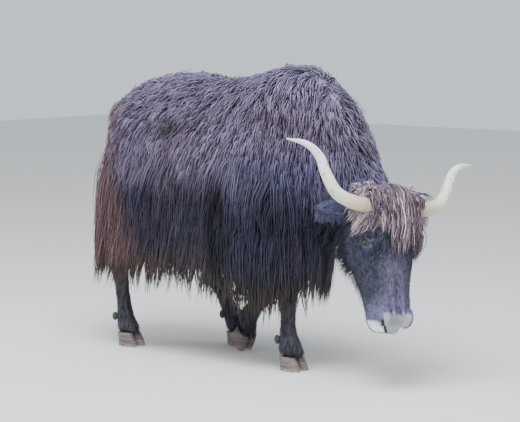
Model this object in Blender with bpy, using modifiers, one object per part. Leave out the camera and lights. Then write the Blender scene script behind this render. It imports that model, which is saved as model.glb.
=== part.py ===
# A life-size yak, walking with its head low and turned to its right.
# Heading is +X, its left side is +Y, and it stands on z = 0. All sizes are in metres.

import bmesh
import bpy
import numpy as np
from math import acos, atan2, cos, pi, radians, sin
from mathutils import Matrix, Vector
from random import Random

# Driving sizes
GAP = 0.0003            # clear space that touching nodes keep
ORIGIN_SHIFT = Vector((-0.124, 0.078, 0.0))   # brings the centre of the model's box over the origin
HOOF_TOP = 0.062        # level at which the claws meet the leg
HEAD_YAW = radians(-25.0)
HEAD_PITCH = radians(69.5)    # nose below the horizontal
HEAD_ROLL = radians(-7.0)     # left side lower than the right
POLL = Vector((0.896, -0.118, 0.762))
EYE_RADIUS = 0.0215

HAIR = (0.035, 0.028, 0.030)
TAIL_HAIR = (0.085, 0.045, 0.035)
FORELOCK_HAIR = (0.120, 0.090, 0.085)
FACE_HAIR = (0.030, 0.026, 0.030)
HORN = (0.70, 0.66, 0.56)
CLAW = (0.16, 0.13, 0.12)
EYE = (0.012, 0.009, 0.008)


def material(name, colour, roughness):
    made = bpy.data.materials.get(name)
    if made is None:
        made = bpy.data.materials.new(name)
        made.use_nodes = True
        shader = made.node_tree.nodes["Principled BSDF"]
        shader.inputs["Base Color"].default_value = (*colour, 1.0)
        shader.inputs["Roughness"].default_value = roughness
        shader.inputs["Metallic"].default_value = 0.0
    return made


def along_stations(stations, t):
    """The row at t from 0 to 1 of a smooth curve through evenly spaced rows of numbers."""
    rows = np.asarray(stations, float)
    place = min(max(t, 0.0), 1.0) * (len(rows) - 1)
    i = min(int(place), len(rows) - 2)
    f = place - i
    p1, p2 = rows[i], rows[i + 1]
    p0 = rows[i - 1] if i else 2 * p1 - p2
    p3 = rows[i + 2] if i + 2 < len(rows) else 2 * p2 - p1
    return 0.5 * (2 * p1 + (p2 - p0) * f + (2 * p0 - 5 * p1 + 4 * p2 - p3) * f ** 2
                  + (3 * p1 - p0 - 3 * p2 + p3) * f ** 3)


def loft(bm, stations, rings, segments, side=(0, 1, 0), plane=None, up=None, egg=0.0, square=1.0):
    """A closed tube: a UV sphere whose rings are moved onto stations of
    (x, y, z, half-width, half-depth). Its width runs along side, or its depth along up. Rings lie
    across the path, or in the plane that plane is the normal of. Egg narrows the far side of its
    depth, and square below 1 makes its rings boxy."""
    verts = bmesh.ops.create_uvsphere(bm, u_segments=segments, v_segments=rings, radius=1.0)["verts"]
    for vert in verts:
        ring = acos(max(-1.0, min(1.0, -vert.co.z))) / pi * rings
        t = min(max((ring - 1) / (rings - 2), 0.0), 1.0)
        row = along_stations(stations, t)
        centre = Vector(row[:3])
        if abs(vert.co.z) > 0.9999:
            vert.co = centre
            continue
        step = Vector(along_stations(stations, t + 0.01)[:3] - along_stations(stations, t - 0.01)[:3])
        tangent = Vector(plane) if plane else step.normalized()
        if up:
            depth = (Vector(up) - tangent * tangent.dot(Vector(up))).normalized()
            across = depth.cross(tangent)
        else:
            across = (Vector(side) - tangent * tangent.dot(Vector(side))).normalized()
            depth = tangent.cross(across)
        angle = atan2(vert.co.y, vert.co.x)
        c, s = cos(angle), sin(angle)
        c = abs(c) ** square * (1 if c > 0 else -1)
        s = abs(s) ** square * (1 if s > 0 else -1)
        vert.co = centre + across * (c * row[3] * (1 - egg * s)) + depth * (s * row[4])
    return verts


def face_out(bm):
    """Turns the faces outwards, and makes them triangles so that no bent face can be split two ways."""
    bmesh.ops.triangulate(bm, faces=bm.faces[:])
    if bm.calc_volume(signed=True) < 0:
        bmesh.ops.reverse_faces(bm, faces=bm.faces[:])


def object_from(name, bm):
    bmesh.ops.recalc_face_normals(bm, faces=bm.faces[:])
    face_out(bm)
    mesh = bpy.data.meshes.new(name)
    bm.to_mesh(mesh)
    bm.free()
    made = bpy.data.objects.new(name, mesh)
    bpy.context.scene.collection.objects.link(made)
    return made


def applied(made):
    """Makes the object's modifiers its mesh."""
    graph = bpy.context.evaluated_depsgraph_get()
    mesh = bpy.data.meshes.new_from_object(made.evaluated_get(graph))
    made.modifiers.clear()
    old, made.data = made.data, mesh
    bpy.data.meshes.remove(old)
    return made


def boolean(made, tools, operation, solver="MANIFOLD"):
    """Joins, cuts or trims the object with closed tool objects, and removes the tools."""
    group = bpy.data.collections.new("tools")
    for tool in tools:
        group.objects.link(tool)
    cut = made.modifiers.new("cut", "BOOLEAN")
    cut.operation = operation
    cut.solver = solver
    if len(tools) == 1:
        cut.object = tools[0]
    else:
        cut.operand_type = "COLLECTION"
        cut.collection = group
    applied(made)
    for tool in tools:
        bpy.data.objects.remove(tool)
    bpy.data.collections.remove(group)
    bm = bmesh.new()
    bm.from_mesh(made.data)
    face_out(bm)
    bm.to_mesh(made.data)
    bm.free()
    return made


def fused(made, voxel, rounds, share):
    """Runs overlapping forms together into one skin, relaxes it and keeps a share of its faces."""
    fuse = made.modifiers.new("fuse", "REMESH")
    fuse.mode = "VOXEL"
    fuse.voxel_size = voxel
    relax = made.modifiers.new("relax", "SMOOTH")
    relax.factor = 0.5
    relax.iterations = rounds
    thin = made.modifiers.new("thin", "DECIMATE")
    thin.ratio = share
    return applied(made)


def copy_of(made, name):
    twin = bpy.data.objects.new(name, made.data.copy())
    bpy.context.scene.collection.objects.link(twin)
    return twin


def grown(made, name, margin=1.5 * GAP):
    """A copy whose surface stands out by the margin, to cut a neighbour clear."""
    twin = copy_of(made, name)
    swell = twin.modifiers.new("swell", "DISPLACE")
    swell.strength = margin
    swell.mid_level = 0.0
    return applied(twin)


def half_space(name, point, normal, reach=3.0):
    """A big box whose one face passes through the point, on the side that the normal points to."""
    bm = bmesh.new()
    bmesh.ops.create_cube(bm, size=reach)
    turn = Vector(normal).normalized().to_track_quat("Z", "Y").to_matrix().to_4x4()
    place = Matrix.Translation(point) @ turn @ Matrix.Translation((0, 0, reach / 2))
    bmesh.ops.transform(bm, matrix=place, verts=bm.verts[:])
    return object_from(name, bm)


def keep_largest(made):
    """Leaves only the mesh's largest closed surface."""
    bm = bmesh.new()
    bm.from_mesh(made.data)
    left, parts = set(bm.verts), []
    while left:
        part, edge = set(), [next(iter(left))]
        while edge:
            vert = edge.pop()
            if vert in part:
                continue
            part.add(vert)
            edge.extend(e.other_vert(vert) for e in vert.link_edges)
        left -= part
        parts.append(part)
    parts.sort(key=len)
    for part in parts[:-1]:
        bmesh.ops.delete(bm, geom=list(part), context="VERTS")
    bm.to_mesh(made.data)
    bm.free()
    return made


def finish(made, name, finish_name, colour, roughness, collection):
    """Names the node, gives it its material and moves it into the collection."""
    keep_largest(made)
    made.name = name
    made.data.name = name
    made.data.transform(Matrix.Translation(ORIGIN_SHIFT))
    made.data.materials.clear()
    made.data.materials.append(material(finish_name, colour, roughness))
    made.data.shade_smooth()
    made.data.set_sharp_from_angle(angle=radians(38))
    for held_by in list(made.users_collection):
        held_by.objects.unlink(made)
    collection.objects.link(made)
    return made


# Trunk, from the rump to the chest: x, level of the back, level of the belly, half-width
TRUNK = (
    (-0.705, 1.02, 0.86, 0.060),
    (-0.665, 1.12, 0.74, 0.155),
    (-0.560, 1.205, 0.62, 0.222),
    (-0.400, 1.250, 0.565, 0.262),
    (-0.200, 1.258, 0.535, 0.292),
    (0.000, 1.240, 0.525, 0.305),
    (0.190, 1.268, 0.535, 0.292),
    (0.340, 1.305, 0.555, 0.270),
    (0.480, 1.275, 0.570, 0.240),
    (0.590, 1.140, 0.615, 0.190),
    (0.640, 0.960, 0.720, 0.110),
)
# Neck, from inside the trunk to the head: centre, half-width, half-depth
NECK = (
    (0.300, 0.000, 0.980, 0.190, 0.280),
    (0.440, -0.006, 0.955, 0.182, 0.280),
    (0.580, -0.038, 0.868, 0.156, 0.225),
    (0.705, -0.080, 0.777, 0.134, 0.170),
    (0.835, -0.112, 0.706, 0.118, 0.132),
    (0.935, -0.142, 0.636, 0.104, 0.120),
)
NECK_PLANE = (Vector((0.585, 0.0, 0.92)), Vector((0.955, -0.05, 0.29)))
# Muscle masses that round the trunk: centre, half-sizes. Each is made on both sides
MASSES = (
    ((0.375, 0.130, 0.83), (0.140, 0.110, 0.260)),    # shoulder and upper arm
    ((0.300, 0.150, 0.66), (0.110, 0.085, 0.120)),    # elbow
    ((-0.430, 0.135, 0.86), (0.185, 0.115, 0.270)),   # thigh
    ((-0.330, 0.150, 0.68), (0.130, 0.085, 0.140)),   # stifle
)
# Each leg from its top down to the hoof: centre, half-width across the leg, half-depth along it
LEGS = {
    "leg_front_right": (
        (0.330, -0.160, 0.700, 0.075, 0.100),
        (0.355, -0.162, 0.590, 0.070, 0.088),
        (0.385, -0.160, 0.470, 0.056, 0.068),
        (0.412, -0.156, 0.360, 0.047, 0.053),
        (0.414, -0.153, 0.270, 0.036, 0.040),
        (0.414, -0.151, 0.185, 0.036, 0.040),
        (0.420, -0.150, 0.115, 0.047, 0.052),
        (0.436, -0.150, 0.072, 0.050, 0.058),
        (0.442, -0.150, 0.045, 0.052, 0.060),
    ),
    "leg_front_left": (
        (0.330, 0.165, 0.700, 0.075, 0.100),
        (0.285, 0.162, 0.590, 0.070, 0.088),
        (0.215, 0.150, 0.460, 0.056, 0.066),
        (0.152, 0.137, 0.350, 0.047, 0.052),
        (0.092, 0.120, 0.275, 0.036, 0.040),
        (0.032, 0.106, 0.215, 0.037, 0.040),
        (-0.014, 0.096, 0.160, 0.045, 0.048),
        (-0.020, 0.093, 0.108, 0.047, 0.044),
        (-0.016, 0.091, 0.070, 0.048, 0.040),
    ),
    "leg_hind_right": (
        (-0.380, -0.160, 0.710, 0.080, 0.130),
        (-0.420, -0.162, 0.600, 0.074, 0.112),
        (-0.515, -0.160, 0.480, 0.054, 0.074),
        (-0.575, -0.156, 0.390, 0.044, 0.060),
        (-0.570, -0.153, 0.300, 0.034, 0.043),
        (-0.556, -0.151, 0.200, 0.034, 0.040),
        (-0.545, -0.150, 0.118, 0.044, 0.049),
        (-0.525, -0.150, 0.074, 0.047, 0.055),
        (-0.518, -0.150, 0.045, 0.048, 0.057),
    ),
    "leg_hind_left": (
        (-0.340, 0.160, 0.710, 0.080, 0.130),
        (-0.320, 0.164, 0.600, 0.074, 0.112),
        (-0.330, 0.166, 0.480, 0.054, 0.076),
        (-0.335, 0.166, 0.385, 0.044, 0.060),
        (-0.285, 0.172, 0.300, 0.034, 0.044),
        (-0.230, 0.180, 0.205, 0.034, 0.040),
        (-0.185, 0.186, 0.122, 0.044, 0.049),
        (-0.160, 0.188, 0.074, 0.047, 0.055),
        (-0.150, 0.188, 0.045, 0.048, 0.057),
    ),
}
# Feet: middle of the coronet, where the claws meet the leg, and how far the toe points down
FEET = {
    "leg_front_right": ((0.434, -0.150, HOOF_TOP), 0.0),
    "leg_front_left": ((-0.019, 0.092, 0.084), radians(52)),
    "leg_hind_right": ((-0.522, -0.150, HOOF_TOP), 0.0),
    "leg_hind_left": ((-0.158, 0.188, HOOF_TOP), 0.0),
}
# Where each foot's fetlock carries its two dewclaws, and the way that they lie behind it
DEWCLAWS = {
    "leg_front_right": ((0.372, -0.150, 0.128), 0.0),
    "leg_front_left": ((-0.055, 0.095, 0.172), radians(40)),
    "leg_hind_right": ((-0.592, -0.150, 0.130), 0.0),
    "leg_hind_left": ((-0.233, 0.186, 0.134), 0.0),
}
# Skirt of long hair, round the right side, chest and left side: x, y, level of its tips
SKIRT_EDGE = (
    (-0.680, -0.060, 0.382),
    (-0.640, -0.155, 0.302),
    (-0.500, -0.215, 0.282),
    (-0.300, -0.252, 0.292),
    (-0.080, -0.272, 0.312),
    (0.130, -0.272, 0.282),
    (0.300, -0.256, 0.247),
    (0.430, -0.222, 0.257),
    (0.500, -0.130, 0.292),
    (0.490, -0.020, 0.312),
    (0.435, 0.085, 0.297),
    (0.360, 0.170, 0.272),
    (0.250, 0.232, 0.262),
    (0.100, 0.264, 0.282),
    (-0.080, 0.272, 0.312),
    (-0.300, 0.252, 0.292),
    (-0.500, 0.215, 0.282),
    (-0.640, 0.155, 0.302),
    (-0.680, 0.060, 0.382),
)
SKIRT_TOP = 0.86
# The coat's dense inner part, which the locks grow out of, ends half way down to their tips
SKIRT_CORE = [(x, y, (0.20 + low * 0.5 + SKIRT_TOP) / 2 + 0.065, 0.028,
               (SKIRT_TOP - low * 0.5 - 0.20) / 2 - 0.065) for x, y, low in SKIRT_EDGE]
# Tiers of the skirt's locks: height of the tips over the hem, length, width, thickness, number
SKIRT_TIERS = (
    (0.000, 0.250, 0.106, 0.034, 30),
    (0.100, 0.265, 0.110, 0.034, 22),
    (0.215, 0.270, 0.114, 0.032, 15),
)
# Tail, from the rump down: centre, half-width, half-depth. The core carries the locks and the
# room is the space that they keep to
TAIL = (
    (-0.640, 0.000, 1.085, 0.050, 0.050),
    (-0.700, 0.000, 1.060, 0.045, 0.040),
    (-0.744, -0.004, 0.960, 0.040, 0.034),
    (-0.766, -0.010, 0.830, 0.040, 0.032),
    (-0.776, -0.015, 0.690, 0.042, 0.030),
    (-0.784, -0.018, 0.560, 0.030, 0.022),
)
TAIL_ROOM = (
    (-0.640, 0.000, 1.085, 0.050, 0.050),
    (-0.700, 0.000, 1.060, 0.046, 0.041),
    (-0.750, -0.004, 0.960, 0.060, 0.044),
    (-0.784, -0.010, 0.820, 0.085, 0.062),
    (-0.800, -0.016, 0.640, 0.100, 0.075),
    (-0.806, -0.020, 0.460, 0.100, 0.075),
    (-0.806, -0.022, 0.270, 0.080, 0.060),
)
TAIL_TIERS = ((0.96, 0.28, 4), (0.80, 0.30, 4), (0.63, 0.32, 5))    # root, length, number


def mirrored(point, side):
    return Vector((point[0], point[1] * side, point[2]))


def body_form():
    """Trunk, neck and muscle masses run together into one smooth form."""
    bm = bmesh.new()
    trunk = [(x, 0.0, (top + low) / 2, wide, (top - low) / 2) for x, top, low, wide in TRUNK]
    loft(bm, trunk, 34, 28, plane=(1, 0, 0), egg=0.16)
    loft(bm, SKIRT_CORE, 60, 10, up=(0, 0, 1))
    loft(bm, NECK, 20, 20)
    for centre, size in MASSES:
        for side in (-1, 1):
            verts = bmesh.ops.create_uvsphere(bm, u_segments=16, v_segments=12, radius=1.0)["verts"]
            bmesh.ops.scale(bm, vec=size, verts=verts)
            bmesh.ops.translate(bm, vec=mirrored(centre, side), verts=verts)
    return fused(object_from("body", bm), 0.016, 7, 0.025)


def lock(path, width, thickness, across):
    """One flat tapered lock along a bent path of points, the first of them inside what it grows from."""
    wide = (0.35, 1.0, 0.82, 0.08)
    rows = []
    for i in range(4):
        point = path[i]
        rows.append((*point, width / 2 * wide[i], thickness / 2 * max(wide[i], 0.2)))
    bm = bmesh.new()
    loft(bm, rows, 5, 4, side=across)
    return object_from("lock", bm)


def skirt_locks():
    """Locks that hang in tiers round the flanks, chest and thighs, swept back as they fall."""
    draw = Random(11)
    locks = []
    for tier, (rise, length, width, thickness, number) in enumerate(SKIRT_TIERS):
        for i in range(number):
            t = (i + 0.5 + 0.35 * (tier % 2) + draw.uniform(-0.2, 0.2)) / (number + 0.4)
            x, y, hem = along_stations(SKIRT_EDGE, t)
            run = along_stations(SKIRT_EDGE, t + 0.01) - along_stations(SKIRT_EDGE, t - 0.01)
            along = Vector((run[0], run[1], 0)).normalized()
            out = along.cross(Vector((0, 0, 1)))
            tip = hem + rise + draw.uniform(-0.028, 0.030)
            drop = length * draw.uniform(0.92, 1.12)
            sweep = Vector((-1, 0, 0)) * drop * draw.uniform(0.10, 0.32) * abs(out.y)
            bow = draw.uniform(-0.014, 0.014)
            base = Vector((x, y, 0))
            lie = out * (0.002 + 0.006 * tier + 0.012 * (i % 2))    # every second lock lies over its neighbours
            path = (
                base - out * 0.016 - sweep * 0.1 + Vector((0, 0, tip + drop)),
                base + out * 0.004 + lie + along * bow + sweep * 0.15 + Vector((0, 0, tip + drop * 0.66)),
                base + out * 0.004 + lie + along * bow + sweep * 0.50 + Vector((0, 0, tip + drop * 0.34)),
                base + lie - out * draw.uniform(0.0, 0.015) + sweep + Vector((0, 0, tip)),
            )
            locks.append(lock(path, width * draw.uniform(0.85, 1.15), thickness, along))
    return locks


THROAT = 10             # locks under the neck
# Head, from the back of the skull to the muzzle: x forward, top, bottom, half-width
HEAD = (
    (-0.030, 0.058, -0.135, 0.086),
    (0.025, 0.090, -0.185, 0.112),
    (0.085, 0.098, -0.224, 0.128),
    (0.145, 0.096, -0.252, 0.134),
    (0.205, 0.086, -0.256, 0.131),
    (0.265, 0.072, -0.240, 0.118),
    (0.330, 0.062, -0.214, 0.104),
    (0.390, 0.056, -0.184, 0.095),
    (0.445, 0.054, -0.158, 0.091),
    (0.500, 0.052, -0.138, 0.090),
    (0.535, 0.036, -0.108, 0.079),
    (0.552, 0.008, -0.066, 0.050),
)
EYE_PLACE = (0.195, 0.107, 0.020)
HORN_BASE = (0.055, 0.088, 0.058)
EAR_LIE = {"left": (radians(12), radians(48)), "right": (radians(10), radians(13))}   # droop, sweep
EAR_BASE = (0.055, 0.104, -0.012)
HEAD_PLANE = (Vector((0.015, 0.0, 0.0)), Vector((0.94, 0.0, 0.34)))   # in the head's own frame


def head_frame():
    """Carries the head's own frame, x along the nose and z out of the forehead, into the model."""
    turn = Matrix.Rotation(HEAD_YAW, 4, "Z") @ Matrix.Rotation(HEAD_ROLL, 4, "X")
    return Matrix.Translation(POLL) @ turn @ Matrix.Rotation(HEAD_PITCH, 4, "Y")


def ellipsoid(bm, centre, size, segments=16, rings=10, turn=None):
    verts = bmesh.ops.create_uvsphere(bm, u_segments=segments, v_segments=rings, radius=1.0)["verts"]
    place = Matrix.Translation(centre) @ (turn or Matrix.Identity(4)) @ Matrix.Diagonal((*size, 1.0))
    bmesh.ops.transform(bm, matrix=place, verts=verts)
    return verts


def tool(name, centre, size, segments=16, rings=10, turn=None):
    bm = bmesh.new()
    ellipsoid(bm, centre, size, segments, rings, turn)
    return object_from(name, bm)


def skull_form():
    """The head in its own frame: flat across the forehead, narrow along the jaw."""
    bm = bmesh.new()
    rows = [(x, 0.0, (top + low) / 2, wide, (top - low) / 2) for x, top, low, wide in HEAD]
    loft(bm, rows, 26, 24, plane=(1, 0, 0), egg=-0.10, square=0.86)
    head = object_from("head", bm)
    parts = []
    for side in (-1, 1):
        eye = mirrored(EYE_PLACE, side)
        parts.append(tool("orbit", eye + Vector((0.004, -0.016 * side, 0.004)), (0.046, 0.030, 0.036)))
        parts.append(tool("lids", eye, (0.0275, 0.0265, 0.0265), 18, 12))
        parts.append(tool("nostril_wing", (0.497, 0.052 * side, 0.012), (0.044, 0.037, 0.040)))
        parts.append(tool("cheek", (0.175, 0.080 * side, -0.122), (0.125, 0.058, 0.105)))
    parts.append(tool("chin", (0.474, 0.0, -0.120), (0.064, 0.064, 0.038)))
    boolean(head, parts, "UNION")
    fused(head, 0.007, 4, 0.043)
    cuts = []
    for side in (-1, 1):
        eye = mirrored(EYE_PLACE, side)
        slope = Matrix.Rotation(radians(-12), 4, "Y")
        cuts.append(tool("lid_opening", eye + Vector((0.002, 0.021 * side, -0.003)),
                         (0.0185, 0.016, 0.0085), 12, 6, slope))
        lean = Matrix.Rotation(radians(35 * side), 4, "X")
        cuts.append(tool("nostril", (0.529, 0.043 * side, 0.014), (0.022, 0.008, 0.015), 8, 6, lean))
    boolean(head, cuts, "DIFFERENCE")
    return boolean(head, [mouth_line()], "DIFFERENCE")


# Dense wool of the crown between the horns, in the head's frame: centre, half-sizes
CROWN_MASSES = (
    ((0.020, 0.004, 0.066), (0.088, 0.140, 0.056)),
    ((0.056, 0.100, 0.045), (0.062, 0.066, 0.056)),
    ((0.052, -0.106, 0.045), (0.060, 0.068, 0.056)),
    ((0.100, 0.016, 0.084), (0.080, 0.096, 0.034)),
)
FORELOCK = 13           # locks over the brow
FORELOCK_LENGTH = 0.215
TOPKNOT = 6             # shorter tufts that stand up round the poll


def crown_form():
    bm = bmesh.new()
    for centre, size in CROWN_MASSES:
        ellipsoid(bm, centre, size, 14, 10)
    return fused(object_from("crown", bm), 0.010, 4, 0.07)


def brow_height(x, y):
    """Height of the forehead over the head's own axis."""
    stations = np.array([row[0] for row in HEAD])
    top, low, wide = (np.interp(x, stations, [row[k] for row in HEAD]) for k in (1, 2, 3))
    inside = max(1 - (abs(y) / (wide * 1.12)) ** 2.3, 0.02)
    return (top + low) / 2 + (top - low) / 2 * inside ** 0.45


def crown_locks():
    """Forelock over the brow and down past the left eye, and tufts round the poll."""
    draw = Random(23)
    locks = []
    for i in range(FORELOCK):
        y = -0.118 + 0.252 * (i + draw.uniform(-0.3, 0.3)) / (FORELOCK - 1)
        start = draw.uniform(-0.01, 0.05)
        reach = FORELOCK_LENGTH * draw.uniform(0.80, 1.08)
        if y < -0.045:
            reach *= 0.56
        drift = draw.uniform(-0.012, 0.022)
        wave = draw.uniform(-0.008, 0.008)
        lift = 0.008 + 0.024 * (i % 2) + draw.uniform(0.0, 0.004)     # every second lock lies on top
        path = []
        for f, rise in ((0.0, -0.020), (0.30, lift + 0.006), (0.62, lift + 0.004), (1.0, lift * 0.8)):
            px, py = start + reach * f, y * (1 - 0.10 * f) + drift * f + wave * sin(5 * f)
            path.append((px, py, brow_height(px, py) + rise))
        locks.append(lock(path, draw.uniform(0.044, 0.056), 0.020, (0, 1, 0)))
    for i in range(TOPKNOT):
        turn = pi * (i + draw.uniform(0.2, 0.8)) / TOPKNOT
        away = Vector((-0.35 + 0.5 * sin(turn), cos(turn), 0.0))
        root = Vector((0.030, away.y * 0.075, 0.060))
        path = (
            root,
            root + away * 0.055 + Vector((0.0, 0, 0.045)),
            root + away * 0.090 + Vector((0.020, 0, 0.040)),
            root + away * 0.115 + Vector((0.055, 0, 0.015)),
        )
        locks.append(lock(path, draw.uniform(0.052, 0.064), 0.022, (sin(turn), 0.2, 0.0)))
    return locks


def mouth_line():
    """The slit between the lips: a thin curved wedge through the muzzle's front."""
    bm = bmesh.new()
    slit = (
        (0.410, 0.0, -0.082, 0.100, 0.0022),
        (0.455, 0.0, -0.077, 0.110, 0.0028),
        (0.505, 0.0, -0.069, 0.110, 0.0030),
        (0.575, 0.0, -0.060, 0.110, 0.0032),
    )
    loft(bm, slit, 7, 4)
    outer = object_from("mouth_line", bm)
    core = tool("mouth_core", (0.422, 0.0, -0.074), (0.112, 0.073, 0.05), 14, 8)
    return boolean(outer, [core], "DIFFERENCE")


# Each horn from its root: sideways, backwards, upwards, and its radius there
HORN_PATH = (
    (-0.045, 0.000, -0.010, 0.031),
    (0.030, 0.000, 0.000, 0.031),
    (0.090, 0.012, 0.008, 0.0285),
    (0.150, 0.034, 0.034, 0.0260),
    (0.190, 0.058, 0.092, 0.0230),
    (0.218, 0.080, 0.152, 0.0190),
    (0.268, 0.106, 0.190, 0.0130),
    (0.340, 0.134, 0.200, 0.0035),
)


HORN_REACH = {1: (1.0, 1.0), -1: (1.05, 1.16)}    # the right horn spreads wider and rises higher


def sockets():
    """Room for both eyes, cut through the face and through the forelock where it hangs over them."""
    return [tool("socket", mirrored(EYE_PLACE, side), (EYE_RADIUS + 2 * GAP,) * 3, 14, 8) for side in (-1, 1)]


def horn_form(side):
    """One horn: out from the skull, up, then out and back to its tip."""
    wider, higher = HORN_REACH[side]
    frame = head_frame()
    lateral = (frame.to_3x3() @ Vector((0, side, 0))).normalized()
    back = Vector((-cos(HEAD_YAW), -sin(HEAD_YAW), 0))
    rise = lateral.cross(back) * side
    rise = rise if rise.z > 0 else -rise
    root = frame @ mirrored(HORN_BASE, side)
    rows = []
    for out, behind, high, radius in HORN_PATH:
        place = root + lateral * out * wider + back * behind + rise * high * higher
        rows.append((*place, radius, radius))
    bm = bmesh.new()
    loft(bm, rows, 15, 9, side=back)
    return object_from("horn", bm)


def ear_form(side, droop, sweep):
    """A leaf-shaped ear with a cup in its front face: droop lowers its tip, sweep turns it back."""
    length, width, thick = 0.190, 0.046, 0.017
    lay = (Matrix.Rotation(side * sweep, 4, "Z") @ Matrix.Rotation(-side * droop, 4, "X"))
    bm = bmesh.new()
    rows = (
        (0.0, 0.0, 0.0, 0.020, 0.016),
        (0.0, side * length * 0.25, 0.0, 0.036, thick),
        (0.0, side * length * 0.55, 0.002, width, thick * 0.9),
        (0.0, side * length * 0.82, 0.004, 0.028, thick * 0.6),
        (0.0, side * length, 0.004, 0.005, 0.003),
    )
    loft(bm, rows, 10, 10, side=(0, 0, 1))
    ear = object_from("ear", bm)
    cup = tool("cup", (0.017, side * length * 0.56, 0.002), (0.019, length * 0.36, 0.031), 10, 8)
    room = grown(ear, "ear_room")
    boolean(ear, [cup], "DIFFERENCE")
    upright = Matrix.Rotation(-HEAD_PITCH * 0.55, 4, "Y")
    place = head_frame() @ Matrix.Translation(mirrored(EAR_BASE, side)) @ upright @ lay
    ear.data.transform(place)
    room.data.transform(place)
    return ear, room


CLAW_ROWS = (
    (0.014, 0.0, -0.062, 0.0265, 0.050),
    (0.012, 0.0, -0.044, 0.0265, 0.049),
    (0.004, 0.0, -0.022, 0.0260, 0.044),
    (-0.004, 0.0, 0.000, 0.0245, 0.038),
)


def foot_frame(name):
    """Carries a frame at the middle of the coronet, x to the toe, into the model."""
    centre, pitch = FEET[name]
    return Matrix.Translation(centre) @ Matrix.Rotation(pitch, 4, "Y")


def claw_form(name, side):
    """One of a foot's two claws, cut flat where it stands on the floor."""
    bm = bmesh.new()
    loft(bm, CLAW_ROWS, 6, 12, plane=(0, 0, 1))
    bmesh.ops.transform(bm, matrix=foot_frame(name) @ Matrix.Translation((0, side * 0.0275, 0)),
                        verts=bm.verts[:])
    claw = object_from("claw", bm)
    return boolean(claw, [half_space("floor", (0, 0, 0), (0, 0, -1))], "DIFFERENCE")


def dewclaw_form(name, side):
    centre, pitch = DEWCLAWS[name]
    turn = Matrix.Rotation(pitch, 4, "Y")
    bm = bmesh.new()
    ellipsoid(bm, Vector(centre) + Vector((0, side * 0.023, 0)), (0.018, 0.013, 0.023), 8, 6, turn)
    return object_from("dewclaw", bm)


def leg_form(name):
    """A leg from inside the trunk down to the coronet."""
    bm = bmesh.new()
    loft(bm, LEGS[name], 15, 10)
    leg = object_from(name, bm)
    frame = foot_frame(name)
    down = frame.to_3x3() @ Vector((0, 0, -1))
    coronet = frame @ Vector((0, 0, GAP))
    return boolean(leg, [half_space("sole", coronet, down)], "DIFFERENCE")


def tail_form():
    """The tail's core with its locks, kept inside the tail's room."""
    draw = Random(5)
    bm = bmesh.new()
    loft(bm, TAIL, 14, 8)
    tail = object_from("tail", bm)
    levels = np.array([row[2] for row in TAIL])[::-1]
    locks = []
    for root, length, number in TAIL_TIERS:
        for i in range(number):
            turn = 2 * pi * (i + draw.uniform(-0.25, 0.25)) / number
            out = Vector((sin(turn) * 0.8, cos(turn), 0))
            along = Vector((cos(turn), -sin(turn), 0))
            high = root + draw.uniform(-0.03, 0.03)
            drop = length * draw.uniform(0.9, 1.12)
            x, y = (np.interp(high, levels, [row[k] for row in TAIL][::-1]) for k in (0, 1))
            sway = draw.uniform(-0.02, 0.02)
            lie = 0.020 * (i % 2)
            path = (
                (x, y, high),
                Vector((x, y, high - drop * 0.30)) + out * (0.030 + lie) + Vector((-0.006, 0, 0)),
                Vector((x, y, high - drop * 0.65)) + out * (0.038 + lie) + along * sway + Vector((-0.012, 0, 0)),
                Vector((x, y, high - drop)) + out * (0.028 + lie) + along * sway + Vector((-0.016, 0, 0)),
            )
            locks.append(lock(path, draw.uniform(0.056, 0.072), 0.024, along))
    boolean(tail, locks, "UNION")
    return boolean(tail, [tail_room()], "INTERSECT")


def tail_room():
    bm = bmesh.new()
    loft(bm, TAIL_ROOM, 16, 10)
    return object_from("tail_room", bm)


def throat_locks():
    """Longer hair that hangs under the neck."""
    draw = Random(31)
    locks = []
    for i in range(THROAT):
        t = 0.50 + 0.34 * (i // 2 + 0.5) / (THROAT // 2)
        x, y, z, wide, deep = along_stations(NECK, t)
        side = (-1 if i % 2 else 1) * draw.uniform(0.02, 0.06)
        root = Vector((x - 0.04, y + side, z - deep * 0.72))
        drop = draw.uniform(0.10, 0.15)
        path = (
            root,
            root + Vector((-0.030, side * 0.3, -drop * 0.35)),
            root + Vector((-0.045, side * 0.4, -drop * 0.75)),
            root + Vector((-0.050, side * 0.3, -drop * 1.15)),
        )
        locks.append(lock(path, draw.uniform(0.060, 0.080), 0.026, (0.9, 0.35 * side / abs(side), 0)))
    return locks


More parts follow.
